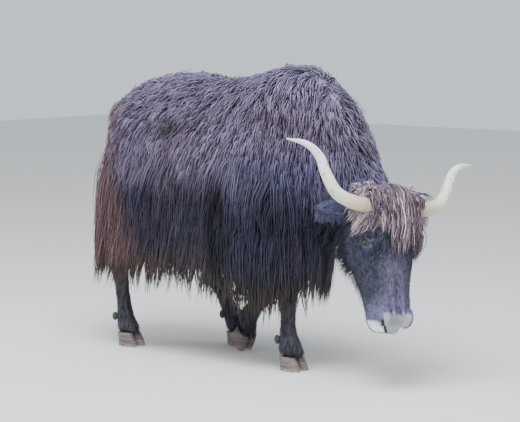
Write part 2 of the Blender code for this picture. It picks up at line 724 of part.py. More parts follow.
def main():
    for made in list(bpy.data.objects):
        bpy.data.objects.remove(made)
    yak = bpy.data.collections.new("Yak")
    bpy.context.scene.collection.children.link(yak)

    body = body_form()
    place = head_frame()
    head = skull_form()
    boolean(head, [crown_form()] + crown_locks(), "UNION")
    boolean(head, sockets(), "DIFFERENCE")
    point, normal = HEAD_PLANE
    boolean(head, [half_space("behind", point, -normal)], "DIFFERENCE")
    head.data.transform(place)

    neck = copy_of(body, "neck")
    boolean(neck, throat_locks(), "UNION")
    boolean(body, skirt_locks(), "UNION")
    throat = place @ (point - normal.normalized() * GAP)
    ahead = half_space("ahead", throat, place.to_3x3() @ normal)
    point, normal = NECK_PLANE
    behind = half_space("behind", point + normal.normalized() * GAP, -normal)
    boolean(neck, [ahead, behind], "DIFFERENCE")
    boolean(body, [half_space("ahead", point, normal)], "DIFFERENCE")

    for side, word in ((1, "left"), (-1, "right")):
        horn = horn_form(side)
        boolean(head, [grown(horn, "horn_room")], "DIFFERENCE")
        finish(horn, "horn_" + word, "horn", HORN, 0.5, yak)
        ear, room = ear_form(side, *EAR_LIE[word])
        boolean(head, [copy_of(room, "ear_room")], "DIFFERENCE")
        boolean(neck, [room], "DIFFERENCE")
        finish(ear, "ear_" + word, "face_hair", FACE_HAIR, 0.7, yak)
        eye = tool("eye", mirrored(EYE_PLACE, side), (EYE_RADIUS,) * 3, 14, 8)
        eye.data.transform(place)
        finish(eye, "eye_" + word, "eye", EYE, 0.15, yak)

    tail = tail_form()
    room = tail_room()
    boolean(body, [grown(room, "clear_room")], "DIFFERENCE")
    bpy.data.objects.remove(room)

    for name in LEGS:
        leg = leg_form(name)
        boolean(body, [grown(leg, "leg_room")], "DIFFERENCE")
        for side, word in ((1, "left"), (-1, "right")):
            foot = name.replace("leg_", "")
            claw = claw_form(name, side)
            finish(claw, "hoof_" + foot + "_" + word, "claw", CLAW, 0.55, yak)
            dewclaw = dewclaw_form(name, side)
            boolean(leg, [grown(dewclaw, "dewclaw_room")], "DIFFERENCE")
            finish(dewclaw, "dewclaw_" + foot + "_" + word, "claw", CLAW, 0.55, yak)
        finish(leg, name, "coat", HAIR, 0.8, yak)

    finish(body, "torso", "coat", HAIR, 0.8, yak)
    finish(neck, "neck", "coat", HAIR, 0.8, yak)
    finish(tail, "tail", "tail_hair", TAIL_HAIR, 0.8, yak)
    finish(head, "head", "face_hair", FACE_HAIR, 0.7, yak)


main()
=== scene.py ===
# A yak walking with its head low: its skin, coat, horns, eyes and claws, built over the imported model.
# Shapes are worked out in the animal's own place, heading +X, and moved onto the frame when finished.

import bmesh
import bpy
import numpy as np
from math import acos, atan2, cos, pi, radians, sin
from mathutils import Matrix, Vector
from mathutils.bvhtree import BVHTree
from mathutils.kdtree import KDTree


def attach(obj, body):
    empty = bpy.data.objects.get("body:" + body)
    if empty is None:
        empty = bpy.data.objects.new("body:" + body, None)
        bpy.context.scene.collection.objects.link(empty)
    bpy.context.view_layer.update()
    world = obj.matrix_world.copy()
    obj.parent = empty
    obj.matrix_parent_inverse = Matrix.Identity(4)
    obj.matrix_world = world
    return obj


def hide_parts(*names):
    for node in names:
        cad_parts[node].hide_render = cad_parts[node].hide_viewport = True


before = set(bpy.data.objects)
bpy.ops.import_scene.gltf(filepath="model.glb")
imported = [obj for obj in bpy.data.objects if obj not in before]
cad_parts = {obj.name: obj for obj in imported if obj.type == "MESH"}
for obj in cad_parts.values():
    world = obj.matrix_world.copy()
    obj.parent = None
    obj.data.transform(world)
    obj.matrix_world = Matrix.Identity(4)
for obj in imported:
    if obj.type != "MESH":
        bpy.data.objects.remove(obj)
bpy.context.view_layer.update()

place = Vector((-0.124, 0.078, 0.0))     # from the animal's own place to the frame's
head = {
    "poll": Vector((0.896, -0.118, 0.762)),
    "yaw": radians(-25.0),
    "pitch": radians(69.5),              # nose below the horizontal
    "roll": radians(-7.0),
}


def headFrame():
    turn = Matrix.Rotation(head["yaw"], 4, "Z") @ Matrix.Rotation(head["roll"], 4, "X")
    return Matrix.Translation(head["poll"]) @ turn @ Matrix.Rotation(head["pitch"], 4, "Y")


headPlace = headFrame()
headTurn = np.array(headPlace.to_3x3())
headPoll = np.array(head["poll"])


def inHead(points):
    return (points - headPoll) @ headTurn


def outOfHead(points):
    return np.asarray(points) @ headTurn.T + headPoll


# Forms that the skin is run together from

def alongStations(stations, t):
    rows = np.asarray(stations, float)
    spot = min(max(t, 0.0), 1.0) * (len(rows) - 1)
    i = min(int(spot), len(rows) - 2)
    f = spot - i
    p1, p2 = rows[i], rows[i + 1]
    p0 = rows[i - 1] if i else 2 * p1 - p2
    p3 = rows[i + 2] if i + 2 < len(rows) else 2 * p2 - p1
    return 0.5 * (2 * p1 + (p2 - p0) * f + (2 * p0 - 5 * p1 + 4 * p2 - p3) * f ** 2
                  + (3 * p1 - p0 - 3 * p2 + p3) * f ** 3)


def loft(bm, stations, rings, segments, side=(0, 1, 0), plane=None, egg=0.0, square=1.0):
    # a sphere whose rings are moved onto rows of x, y, z, half-width, half-depth
    verts = bmesh.ops.create_uvsphere(bm, u_segments=segments, v_segments=rings, radius=1.0)["verts"]
    for vert in verts:
        ring = acos(max(-1.0, min(1.0, -vert.co.z))) / pi * rings
        t = min(max((ring - 1) / (rings - 2), 0.0), 1.0)
        row = alongStations(stations, t)
        centre = Vector(row[:3])
        if abs(vert.co.z) > 0.99999:
            vert.co = centre
            continue
        step = Vector(alongStations(stations, t + 0.01)[:3] - alongStations(stations, t - 0.01)[:3])
        tangent = Vector(plane) if plane else step.normalized()
        across = (Vector(side) - tangent * tangent.dot(Vector(side))).normalized()
        depth = tangent.cross(across)
        angle = atan2(vert.co.y, vert.co.x)
        c, s = cos(angle), sin(angle)
        c = abs(c) ** square * (1 if c > 0 else -1)
        s = abs(s) ** square * (1 if s > 0 else -1)
        vert.co = centre + across * (c * row[3] * (1 - egg * s)) + depth * (s * row[4])
    return verts


def ellipsoid(bm, centre, size, segments=24, rings=16, turn=None):
    verts = bmesh.ops.create_uvsphere(bm, u_segments=segments, v_segments=rings, radius=1.0)["verts"]
    where = Matrix.Translation(centre) @ (turn or Matrix.Identity(4)) @ Matrix.Diagonal((*size, 1.0))
    bmesh.ops.transform(bm, matrix=where, verts=verts)


def faceOut(bm):
    bmesh.ops.triangulate(bm, faces=bm.faces[:])
    bmesh.ops.recalc_face_normals(bm, faces=bm.faces[:])
    if bm.calc_volume(signed=True) < 0:
        bmesh.ops.reverse_faces(bm, faces=bm.faces[:])


def objectFrom(name, bm):
    faceOut(bm)
    mesh = bpy.data.meshes.new(name)
    bm.to_mesh(mesh)
    bm.free()
    made = bpy.data.objects.new(name, mesh)
    bpy.context.scene.collection.objects.link(made)
    return made


def lump(name, centre, size, segments=24, rings=16, turn=None):
    bm = bmesh.new()
    ellipsoid(bm, centre, size, segments, rings, turn)
    return objectFrom(name, bm)


def applied(made):
    graph = bpy.context.evaluated_depsgraph_get()
    mesh = bpy.data.meshes.new_from_object(made.evaluated_get(graph))
    made.modifiers.clear()
    made.data = mesh
    return made


def boolean(made, tools, operation):
    for tool in tools:
        cut = made.modifiers.new("cut", "BOOLEAN")
        cut.operation = operation
        cut.solver = "MANIFOLD"
        cut.object = tool
        applied(made)
        bpy.data.objects.remove(tool)
        bm = bmesh.new()
        bm.from_mesh(made.data)
        if bm.calc_volume(signed=True) < 0:
            bmesh.ops.reverse_faces(bm, faces=bm.faces[:])
        bm.to_mesh(made.data)
        bm.free()
    return made


def fused(made, voxel, rounds):
    fuse = made.modifiers.new("fuse", "REMESH")
    fuse.mode = "VOXEL"
    fuse.voxel_size = voxel
    relax = made.modifiers.new("relax", "SMOOTH")
    relax.factor = 0.5
    relax.iterations = rounds
    return applied(made)


def halfSpace(point, normal, reach=3.0):
    bm = bmesh.new()
    bmesh.ops.create_cube(bm, size=reach)
    turn = Vector(normal).normalized().to_track_quat("Z", "Y").to_matrix().to_4x4()
    where = Matrix.Translation(point) @ turn @ Matrix.Translation((0, 0, reach / 2))
    bmesh.ops.transform(bm, matrix=where, verts=bm.verts[:])
    return objectFrom("side", bm)


def flipped(point, side):
    return Vector((point[0], point[1] * side, point[2]))


# Body

body = {
    "coat": 0.034,        # depth of the lying coat over the trunk
    "voxel": 0.012,
    "trunk": (            # x, level of the back, level of the belly, half-width, all over the coat
        (-0.705, 1.02, 0.86, 0.060),
        (-0.665, 1.12, 0.74, 0.155),
        (-0.560, 1.205, 0.62, 0.222),
        (-0.400, 1.250, 0.565, 0.262),
        (-0.200, 1.258, 0.535, 0.292),
        (0.000, 1.240, 0.525, 0.305),
        (0.190, 1.268, 0.535, 0.292),
        (0.340, 1.305, 0.555, 0.270),
        (0.480, 1.275, 0.570, 0.240),
        (0.590, 1.140, 0.615, 0.190),
        (0.640, 0.960, 0.720, 0.110),
    ),
    "neck": (             # centre, half-width, half-depth
        (0.300, 0.000, 0.980, 0.190, 0.280),
        (0.440, -0.006, 0.955, 0.182, 0.280),
        (0.580, -0.038, 0.868, 0.156, 0.225),
        (0.705, -0.080, 0.777, 0.134, 0.170),
        (0.835, -0.112, 0.706, 0.118, 0.132),
        (0.935, -0.142, 0.636, 0.104, 0.120),
    ),
    "masses": (           # centre, half-sizes
        ((0.375, 0.130, 0.83), (0.130, 0.090, 0.240)),
        ((0.300, 0.150, 0.66), (0.105, 0.065, 0.110)),
        ((-0.430, 0.135, 0.86), (0.175, 0.095, 0.250)),
        ((-0.330, 0.150, 0.68), (0.120, 0.065, 0.130)),
    ),
}

legs = {                  # from the top down: centre, half-width across the leg, half-depth along it
    "front_right": (
        (0.330, -0.160, 0.700, 0.075, 0.100),
        (0.355, -0.162, 0.590, 0.070, 0.088),
        (0.385, -0.160, 0.470, 0.056, 0.068),
        (0.412, -0.156, 0.360, 0.047, 0.053),
        (0.414, -0.153, 0.270, 0.036, 0.040),
        (0.414, -0.151, 0.185, 0.036, 0.040),
        (0.420, -0.150, 0.115, 0.047, 0.052),
        (0.436, -0.150, 0.072, 0.050, 0.058),
        (0.442, -0.150, 0.045, 0.052, 0.060),
    ),
    "front_left": (
        (0.330, 0.165, 0.700, 0.075, 0.100),
        (0.285, 0.162, 0.590, 0.070, 0.088),
        (0.215, 0.150, 0.460, 0.056, 0.066),
        (0.152, 0.137, 0.350, 0.047, 0.052),
        (0.092, 0.120, 0.275, 0.036, 0.040),
        (0.032, 0.106, 0.215, 0.037, 0.040),
        (-0.014, 0.096, 0.160, 0.045, 0.048),
        (-0.020, 0.093, 0.108, 0.047, 0.044),
        (-0.016, 0.091, 0.070, 0.048, 0.040),
    ),
    "hind_right": (
        (-0.380, -0.160, 0.710, 0.080, 0.130),
        (-0.420, -0.162, 0.600, 0.074, 0.112),
        (-0.515, -0.160, 0.480, 0.054, 0.074),
        (-0.575, -0.156, 0.390, 0.044, 0.060),
        (-0.570, -0.153, 0.300, 0.034, 0.043),
        (-0.556, -0.151, 0.200, 0.034, 0.040),
        (-0.545, -0.150, 0.118, 0.044, 0.049),
        (-0.525, -0.150, 0.074, 0.047, 0.055),
        (-0.518, -0.150, 0.045, 0.048, 0.057),
    ),
    "hind_left": (
        (-0.340, 0.160, 0.710, 0.080, 0.130),
        (-0.320, 0.164, 0.600, 0.074, 0.112),
        (-0.330, 0.166, 0.480, 0.054, 0.076),
        (-0.335, 0.166, 0.385, 0.044, 0.060),
        (-0.285, 0.172, 0.300, 0.034, 0.044),
        (-0.230, 0.180, 0.205, 0.034, 0.040),
        (-0.185, 0.186, 0.122, 0.044, 0.049),
        (-0.160, 0.188, 0.074, 0.047, 0.055),
        (-0.150, 0.188, 0.045, 0.048, 0.057),
    ),
}

feet = {                  # middle of the coronet, and how far the toe points down
    "front_right": ((0.434, -0.150, 0.062), 0.0),
    "front_left": ((-0.019, 0.092, 0.084), radians(52)),
    "hind_right": ((-0.522, -0.150, 0.062), 0.0),
    "hind_left": ((-0.158, 0.188, 0.062), 0.0),
}

dewclaws = {              # behind each fetlock
    "front_right": ((0.372, -0.150, 0.128), 0.0),
    "front_left": ((-0.055, 0.095, 0.172), radians(40)),
    "hind_right": ((-0.592, -0.150, 0.130), 0.0),
    "hind_left": ((-0.233, 0.186, 0.134), 0.0),
}

tail = {
    "core": (
        (-0.640, 0.000, 1.075, 0.040, 0.040),
        (-0.700, 0.000, 1.050, 0.034, 0.030),
        (-0.744, -0.004, 0.955, 0.026, 0.024),
        (-0.766, -0.010, 0.830, 0.022, 0.020),
        (-0.776, -0.015, 0.700, 0.018, 0.016),
        (-0.784, -0.018, 0.600, 0.010, 0.010),
    ),
    "tip": 0.275,
    "locks": 190,
    "perLock": 10,
    "spread": (0.012, 0.015, 0.004),
    "halfWidth": (0.0018, 0.0032),
    "wave": 0.006,
    "tone": (0.45, 0.14, 0.16),
}


def footFrame(name):
    centre, pitch = feet[name]
    return Matrix.Translation(centre) @ Matrix.Rotation(pitch, 4, "Y")


def bodyForm():
    depth = body["coat"]
    bm = bmesh.new()
    trunk = []
    for x, top, low, wide in body["trunk"]:
        inward = depth * (0.6 if x < 0 else -0.4)
        level = (top - depth + low + depth * 0.4) / 2
        trunk.append((x + inward, 0.0, level, wide - depth * 0.9, (top - low - depth * 1.4) / 2))
    loft(bm, trunk, 60, 44, plane=(1, 0, 0), egg=0.16)
    neck = [(x, y, z, wide - depth * 0.85, deep - depth * 0.85) for x, y, z, wide, deep in body["neck"]]
    loft(bm, neck, 34, 28)
    for centre, size in body["masses"]:
        for side in (-1, 1):
            ellipsoid(bm, flipped(centre, side), size)
    loft(bm, tail["core"], 24, 14)
    made = objectFrom("skin", bm)
    shanks = []
    for name, rows in legs.items():
        bm = bmesh.new()
        loft(bm, [(*row[:3], row[3] - 0.005, row[4] - 0.005) for row in rows], 34, 20)
        shank = objectFrom(name, bm)
        frameOfFoot = footFrame(name)
        down = frameOfFoot.to_3x3() @ Vector((0, 0, -1))
        boolean(shank, [halfSpace(frameOfFoot @ Vector((0, 0, 0.0003)), down)], "DIFFERENCE")
        shanks.append(shank)
    with bpy.context.temp_override(active_object=made, selected_editable_objects=[made] + shanks):
        bpy.ops.object.join()
    return fused(made, body["voxel"], 3)


# Head, in its own frame: x along the nose, z out of the forehead, y to its left

face = {
    "fur": 0.004,
    "voxel": 0.0032,
    "rows": (             # x, top, bottom, half-width, over the fur
        (-0.030, 0.058, -0.135, 0.086),
        (0.025, 0.090, -0.180, 0.112),
        (0.085, 0.098, -0.212, 0.126),
        (0.145, 0.096, -0.232, 0.132),
        (0.205, 0.086, -0.232, 0.129),
        (0.265, 0.072, -0.212, 0.117),
        (0.330, 0.062, -0.186, 0.103),
        (0.390, 0.056, -0.162, 0.093),
        (0.445, 0.054, -0.146, 0.090),
        (0.495, 0.040, -0.134, 0.090),
        (0.532, 0.008, -0.112, 0.081),
        (0.552, -0.026, -0.088, 0.056),
    ),
    "eye": (0.203, 0.108, 0.025),
    "eyeRadius": 0.0213,
    "opening": (0.0195, 0.0160, 0.0104),
    "openingTilt": radians(-50),
    "eyeUp": radians(30),               # how far the eyes look up from straight out sideways
    "groove": (           # from the nostril's upper end down to the mouth: place, half-thickness
        (0.520, 0.067, 0.038, 0.0035),
        (0.530, 0.060, 0.022, 0.0060),
        (0.540, 0.048, 0.004, 0.0110),
        (0.548, 0.030, -0.017, 0.0062),
        (0.553, 0.008, -0.041, 0.0040),
    ),
}

ears = {
    "base": (0.055, 0.104, -0.012),
    "length": 0.190,
    "width": 0.046,
    "thick": 0.017,
    "lie": {"left": (radians(12), radians(48)), "right": (radians(10), radians(13))},   # droop, sweep
}


def tubeAlong(points, radius):
    curve = bpy.data.curves.new("rim", "CURVE")
    curve.dimensions = "3D"
    curve.bevel_depth = radius
    curve.bevel_resolution = 3
    spline = curve.splines.new("POLY")
    spline.points.add(len(points) - 1)
    for spot, point in zip(spline.points, points):
        spot.co = (*point, 1.0)
    spline.use_cyclic_u = True
    made = bpy.data.objects.new("rim", curve)
    bpy.context.scene.collection.objects.link(made)
    mesh = bpy.data.meshes.new_from_object(made.evaluated_get(bpy.context.evaluated_depsgraph_get()))
    bpy.data.objects.remove(made)
    bm = bmesh.new()
    bm.from_mesh(mesh)
    bmesh.ops.remove_doubles(bm, verts=bm.verts[:], dist=0.00005)
    return objectFrom("rim", bm)


def eyeTurn(side):
    return Matrix.Rotation(side * face["eyeUp"], 4, "X") @ Matrix.Rotation(face["openingTilt"], 4, "Y")


def lidRim(side, radius, spread, reach):
    # an almond ring on the eyeball's own roundness
    centre = flipped(face["eye"], side)
    tilt = eyeTurn(side)
    wide, _, high = face["opening"]
    points = []
    for i in range(40):
        angle = 2 * pi * i / 40
        a = wide * spread * cos(angle)
        b = high * spread * sin(angle) * (1 - 0.25 * cos(angle) ** 2)
        out = (reach ** 2 - a * a - b * b) ** 0.5
        points.append(centre + tilt @ Vector((a, out * side, b)))
    return tubeAlong(points, radius)


def earForm(side, droop, sweep):
    length, width, thick = ears["length"], ears["width"], ears["thick"]
    lay = Matrix.Rotation(side * sweep, 4, "Z") @ Matrix.Rotation(-side * droop, 4, "X")
    rows = (
        (0.0, -side * length * 0.12, 0.0, 0.022, 0.019),
        (0.0, side * length * 0.10, 0.0, 0.026, thick),
        (0.0, side * length * 0.35, 0.001, width * 0.94, thick * 0.90),
        (0.0, side * length * 0.60, 0.002, width * 0.93, thick * 0.75),
        (0.0, side * length * 0.82, 0.004, 0.027, thick * 0.5),
        (0.0, side * length * 0.985, 0.004, 0.004, 0.002),
    )
    bm = bmesh.new()
    loft(bm, rows, 40, 28, side=(0, 0, 1))
    made = objectFrom("ear", bm)
    cup = lump("cup", (0.018, side * length * 0.53, 0.002), (0.0235, length * 0.38, 0.034), 32, 24)
    boolean(made, [cup], "DIFFERENCE")
    upright = Matrix.Rotation(-head["pitch"] * 0.55, 4, "Y")
    made.data.transform(Matrix.Translation(flipped(ears["base"], side)) @ upright @ lay)
    return made


def nostrilCuts(made, side):
    # a comma-shaped groove that widens to the nostril half way down
    bm = bmesh.new()
    bm.from_mesh(made.data)
    near = BVHTree.FromBMesh(bm)
    bm.free()
    spots = []
    for x, y, z, thick in face["groove"]:
        point, normal, _, _ = near.find_nearest(flipped((x, y, z), side))
        spots.append((point - normal * thick * 0.3, thick))
    cuts = []
    for (start, thin), (end, thick) in zip(spots, spots[1:]):
        turn = (end - start).to_track_quat("X", "Z").to_matrix().to_4x4()
        across = (thin + thick) / 2
        size = ((end - start).length * 0.62, across, across)
        cuts.append(lump("groove", (start + end) / 2, size, 24, 16, turn))
    return cuts


def mouthSlit():
    bm = bmesh.new()
    slit = (
        (0.408, 0.0, -0.084, 0.100, 0.0018),
        (0.440, 0.0, -0.079, 0.110, 0.0030),
        (0.480, 0.0, -0.073, 0.110, 0.0040),
        (0.520, 0.0, -0.067, 0.110, 0.0048),
        (0.590, 0.0, -0.058, 0.110, 0.0054),
    )
    loft(bm, slit, 24, 8)
    outer = objectFrom("slit", bm)
    inner = lump("inner", (0.420, 0.0, -0.074), (0.110, 0.072, 0.05), 32, 20)
    return boolean(outer, [inner], "DIFFERENCE")


def headForm():
    fur = face["fur"]
    bm = bmesh.new()
    rows = [(x - 0.003, 0.0, (top + low) / 2, wide - fur, (top - low) / 2 - fur)
            for x, top, low, wide in face["rows"]]
    loft(bm, rows, 56, 48, plane=(1, 0, 0), egg=-0.10, square=0.86)
    for side in (-1, 1):
        eye = flipped(face["eye"], side)
        slope = Matrix.Rotation(radians(14), 4, "Y")
        ellipsoid(bm, eye + Vector((0.004, -0.018 * side, 0.004)), (0.047, 0.0285, 0.036))    # orbit
        ellipsoid(bm, eye + Vector((-0.030, -0.008 * side, 0.014)), (0.016, 0.026, 0.032))    # brow
        ellipsoid(bm, eye + Vector((0.002, -0.026 * side, 0.030)), (0.034, 0.014, 0.012))    # inner fold
        ellipsoid(bm, eye + Vector((0.006, -0.003 * side, -0.024)), (0.034, 0.018, 0.012))    # outer fold
        ellipsoid(bm, eye, (0.0268, 0.0258, 0.0255))    # lids
        ellipsoid(bm, (0.290, 0.084 * side, -0.058), (0.080, 0.016, 0.015), turn=slope)    # face crest
        ellipsoid(bm, (0.170, 0.080 * side, -0.118), (0.118, 0.052, 0.098))    # cheek
        ellipsoid(bm, (0.497, 0.050 * side, 0.012), (0.044, 0.034, 0.038))    # nostril wing
        ellipsoid(bm, (0.380, 0.022 * side, 0.051), (0.125, 0.015, 0.011))    # nasal bone
        ellipsoid(bm, (0.458, 0.062 * side, -0.050), (0.058, 0.026, 0.030))    # upper lip
        ellipsoid(bm, (0.030, 0.085 * side, 0.040), (0.050, 0.045, 0.045))    # horn root
    ellipsoid(bm, (0.474, 0.0, -0.116), (0.062, 0.060, 0.034))    # chin
    ellipsoid(bm, (0.506, 0.0, -0.104), (0.044, 0.067, 0.026))    # lower lip
    ellipsoid(bm, (0.524, 0.0, -0.030), (0.030, 0.058, 0.040))    # nose pad
    ellipsoid(bm, (0.020, 0.0, 0.050), (0.070, 0.095, 0.045))    # poll
    made = fused(objectFrom("face", bm), face["voxel"], 3)
    cuts = []
    for side in (-1, 1):
        eye = flipped(face["eye"], side)
        look = eyeTurn(side)
        front = eye + look @ Vector((0, 0.021 * side, 0))
        cuts.append(lump("opening", front, face["opening"], 28, 18, look))
        cuts.append(lump("socket", eye, (face["eyeRadius"] + 0.0005,) * 3, 32, 24))
        cuts += nostrilCuts(made, side)
    boolean(made, cuts, "DIFFERENCE")
    boolean(made, [mouthSlit()], "DIFFERENCE")
    rims = []
    for side in (-1, 1):
        rims.append(lidRim(side, 0.0022, 1.03, face["eyeRadius"] + 0.0030))
        rims.append(lidRim(side, 0.0016, 1.28, face["eyeRadius"] + 0.0066))
    boolean(made, rims, "UNION")
    boolean(made, [earForm(1, *ears["lie"]["left"]), earForm(-1, *ears["lie"]["right"])], "UNION")
    made.data.transform(headPlace)
    return made


def makeSkin():
    made = bodyForm()
    print("body form", len(made.data.polygons))
    boolean(made, [headForm()], "UNION")
    print("skin", len(made.data.polygons))
    return made


skin = makeSkin()


# Reading the skin back: points on it, and the nearest place on it

def meshArrays(made):
    mesh = made.data
    mesh.calc_loop_triangles()
    points = np.empty(len(mesh.vertices) * 3, np.float32)
    mesh.vertices.foreach_get("co", points)
    normals = np.empty(len(mesh.vertices) * 3, np.float32)
    mesh.vertices.foreach_get("normal", normals)
    faces = np.empty(len(mesh.loop_triangles) * 3, np.int32)
    mesh.loop_triangles.foreach_get("vertices", faces)
    points, normals, faces = (rows.reshape(-1, 3) for rows in (points, normals, faces))
    return points.astype(float), normals.astype(float), faces


def unit(vectors):
    return vectors / np.maximum(np.linalg.norm(vectors, axis=-1, keepdims=True), 1e-9)


def dot(a, b):
    return (a * b).sum(-1, keepdims=True)


skinPoints, skinNormals, skinFaces = meshArrays(skin)
skinTree = BVHTree.FromPolygons(skinPoints.tolist(), skinFaces.tolist())


def rootsOn(count, seed, weight):
    # points spread over the skin, as densely as the weight says
    draw = np.random.default_rng(seed)
    a, b, c = (skinPoints[skinFaces[:, i]] for i in range(3))
    across = np.cross(b - a, c - a)
    area = np.linalg.norm(across, axis=1)
    share = np.cumsum(area * weight((a + b + c) / 3, unit(across)))
    faces = np.searchsorted(share, draw.random(count) * share[-1])
    u, v = draw.random((2, count, 1))
    over = (u + v) > 1
    u, v = np.where(over, 1 - u, u), np.where(over, 1 - v, v)
    corners = skinFaces[np.minimum(faces, len(skinFaces) - 1)]
    mix = [1 - u - v, u, v]
    points = sum(m * skinPoints[corners[:, i]] for i, m in enumerate(mix))
    normals = unit(sum(m * skinNormals[corners[:, i]] for i, m in enumerate(mix)))
    return points, normals


def ramp(values, low, high):
    t = np.clip((values - low) / (high - low), 0, 1)
    return t * t * (3 - 2 * t)


def ripple(points, scale, seed):
    # smooth wandering numbers from -1 to 1 over space
    draw = np.random.default_rng(seed)
    total = np.zeros(len(points))
    for _ in range(7):
        way = unit(draw.normal(size=3)) * scale * draw.uniform(0.6, 1.5)
        total += np.sin(points @ way + draw.uniform(0, 2 * pi))
    return total / 3.2


# Strands: flat tapered blades with a low ridge, many to a piece

def strandPiece(name, paths, widths, across, outward, tone, spots, finish, ridge=0.45):
    count, rings = paths.shape[:2]
    along = unit(np.gradient(paths, axis=1))
    side = unit(across - along * dot(across, along))
    up = np.cross(along, side)
    up = up * np.sign(dot(up, outward) + 1e-6)
    w = widths[..., None]
    body3 = paths[:, :-1]
    corners = np.stack([
        body3 - side[:, :-1] * w[:, :-1] - up[:, :-1] * w[:, :-1] * ridge * 0.3,
        body3 + side[:, :-1] * w[:, :-1] - up[:, :-1] * w[:, :-1] * ridge * 0.3,
        body3 + up[:, :-1] * w[:, :-1] * ridge,
    ], axis=2)
    points = np.concatenate([corners.reshape(count, -1, 3), paths[:, -1:]], axis=1)
    perStrand = points.shape[1]
    turnedOver = dot(np.cross(side, up), along)[:, 0, 0] < 0

    loops, starts, totals = [], [], []

    def addFace(*ids):
        starts.append(len(loops))
        totals.append(len(ids))
        loops.extend(ids)

    addFace(2, 1, 0)
    for k in range(rings - 2):
        for a, b in ((0, 1), (1, 2), (2, 0)):
            addFace(3 * k + a, 3 * k + b, 3 * k + 3 + b, 3 * k + 3 + a)
    last = 3 * (rings - 2)
    for a, b in ((0, 1), (1, 2), (2, 0)):
        addFace(last + a, last + b, perStrand - 1)
    loops, starts, totals = np.array(loops), np.array(starts), np.array(totals)
    # a strand whose section runs the other way has its first two corners changed over
    order = np.arange(perStrand)
    order[:-1] = order[:-1].reshape(-1, 3)[:, [1, 0, 2]].ravel()
    points[turnedOver] = points[turnedOver][:, order]
    offset = np.arange(count)[:, None]
    allLoops = (loops[None] + offset * perStrand).ravel()
    allStarts = (starts[None] + offset * len(loops)).ravel()

    mesh = bpy.data.meshes.new(name)
    mesh.vertices.add(count * perStrand)
    mesh.loops.add(len(allLoops))
    mesh.polygons.add(len(allStarts))
    mesh.vertices.foreach_set("co", (points.reshape(-1, 3) + np.array(place)).astype(np.float32).ravel())
    mesh.loops.foreach_set("vertex_index", allLoops.astype(np.int32))
    mesh.polygons.foreach_set("loop_start", allStarts.astype(np.int32))
    mesh.polygons.foreach_set("loop_total", np.tile(totals, count).astype(np.int32))
    mesh.update(calc_edges=True)
    mesh.polygons.foreach_set("use_smooth", np.ones(len(mesh.polygons), bool))

    reach = np.concatenate([np.repeat(np.linspace(0, 1, rings)[:-1], 3), [1.0]])
    reachAttribute = mesh.attributes.new("reach", "FLOAT", "POINT")
    reachAttribute.data.foreach_set("value", np.tile(reach, count).astype(np.float32))
    acrossAttribute = mesh.attributes.new("across", "FLOAT", "POINT")
    sides = np.append(np.tile([0.0, 1.0, 0.5], rings - 1), 0.5)
    acrossAttribute.data.foreach_set("value", np.tile(sides, count).astype(np.float32))
    toneAttribute = mesh.attributes.new("tone", "FLOAT", "POINT")
    toneAttribute.data.foreach_set("value", np.repeat(tone, perStrand).astype(np.float32))

    patch = 0.003
    local = np.stack([sides, reach], axis=1) * patch
    uv = (np.clip(spots, 0.003, 0.993)[:, None] + local[None]).reshape(-1, 2)
    layer = mesh.uv_layers.new(name="OFBake")
    layer.data.foreach_set("uv", uv[allLoops].astype(np.float32).ravel())
    mesh.materials.append(finish)
    made = bpy.data.objects.new(name, mesh)
    bpy.context.scene.collection.objects.link(made)
    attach(made, "root")
    return made


def roundBody(points, low=-0.90, high=1.05):
    # the trunk unrolled round its long axis
    u = (points[:, 0] - low) / (high - low)
    v = np.arctan2(points[:, 1], points[:, 2] - 0.80) / (2 * pi) + 0.5
    return np.stack([u, v], axis=1)


def roundHead(points):
    local = inHead(points)
    u = (local[:, 0] + 0.12) / 0.75
    v = np.arctan2(local[:, 1], local[:, 2] + 0.04) / (2 * pi) + 0.5
    return np.stack([u, v], axis=1)


def roundLegs(points):
    # each leg unrolled into its own quarter
    x, y, z = points.T
    u = np.where(x > 0.12, 0.5, 0.0)
    v = np.where(y > 0, 0.5, 0.0)
    middle = np.where(x > 0.12, 0.40, -0.40)
    turn = np.arctan2(y - np.sign(y) * 0.155, x - middle) / (2 * pi) + 0.5
    return np.stack([u + 0.02 + 0.45 * turn, v + 0.02 + 0.45 * np.clip(z / 0.7, 0, 1)], axis=1)


# Finishes

class Value:
    # a number or a vector socket that can be used in expressions
    def __init__(self, paint, socket):
        self.paint, self.socket = paint, socket

    def calc(self, operation, *others):
        values = {i: other for i, other in enumerate(others)}
        return self.paint.add("ShaderNodeMath", {"operation": operation}, values)

    def __add__(self, other):
        return self.calc("ADD", self, other)

    def __sub__(self, other):
        return self.calc("SUBTRACT", self, other)

    def __rsub__(self, other):
        return self.calc("SUBTRACT", other, self)

    def __mul__(self, other):
        return self.calc("MULTIPLY", self, other)

    def __truediv__(self, other):
        return self.calc("DIVIDE", self, other)

    def __pow__(self, other):
        return self.calc("POWER", self, other)

    def __abs__(self):
        return self.calc("ABSOLUTE", self)

    __radd__ = __add__
    __rmul__ = __mul__


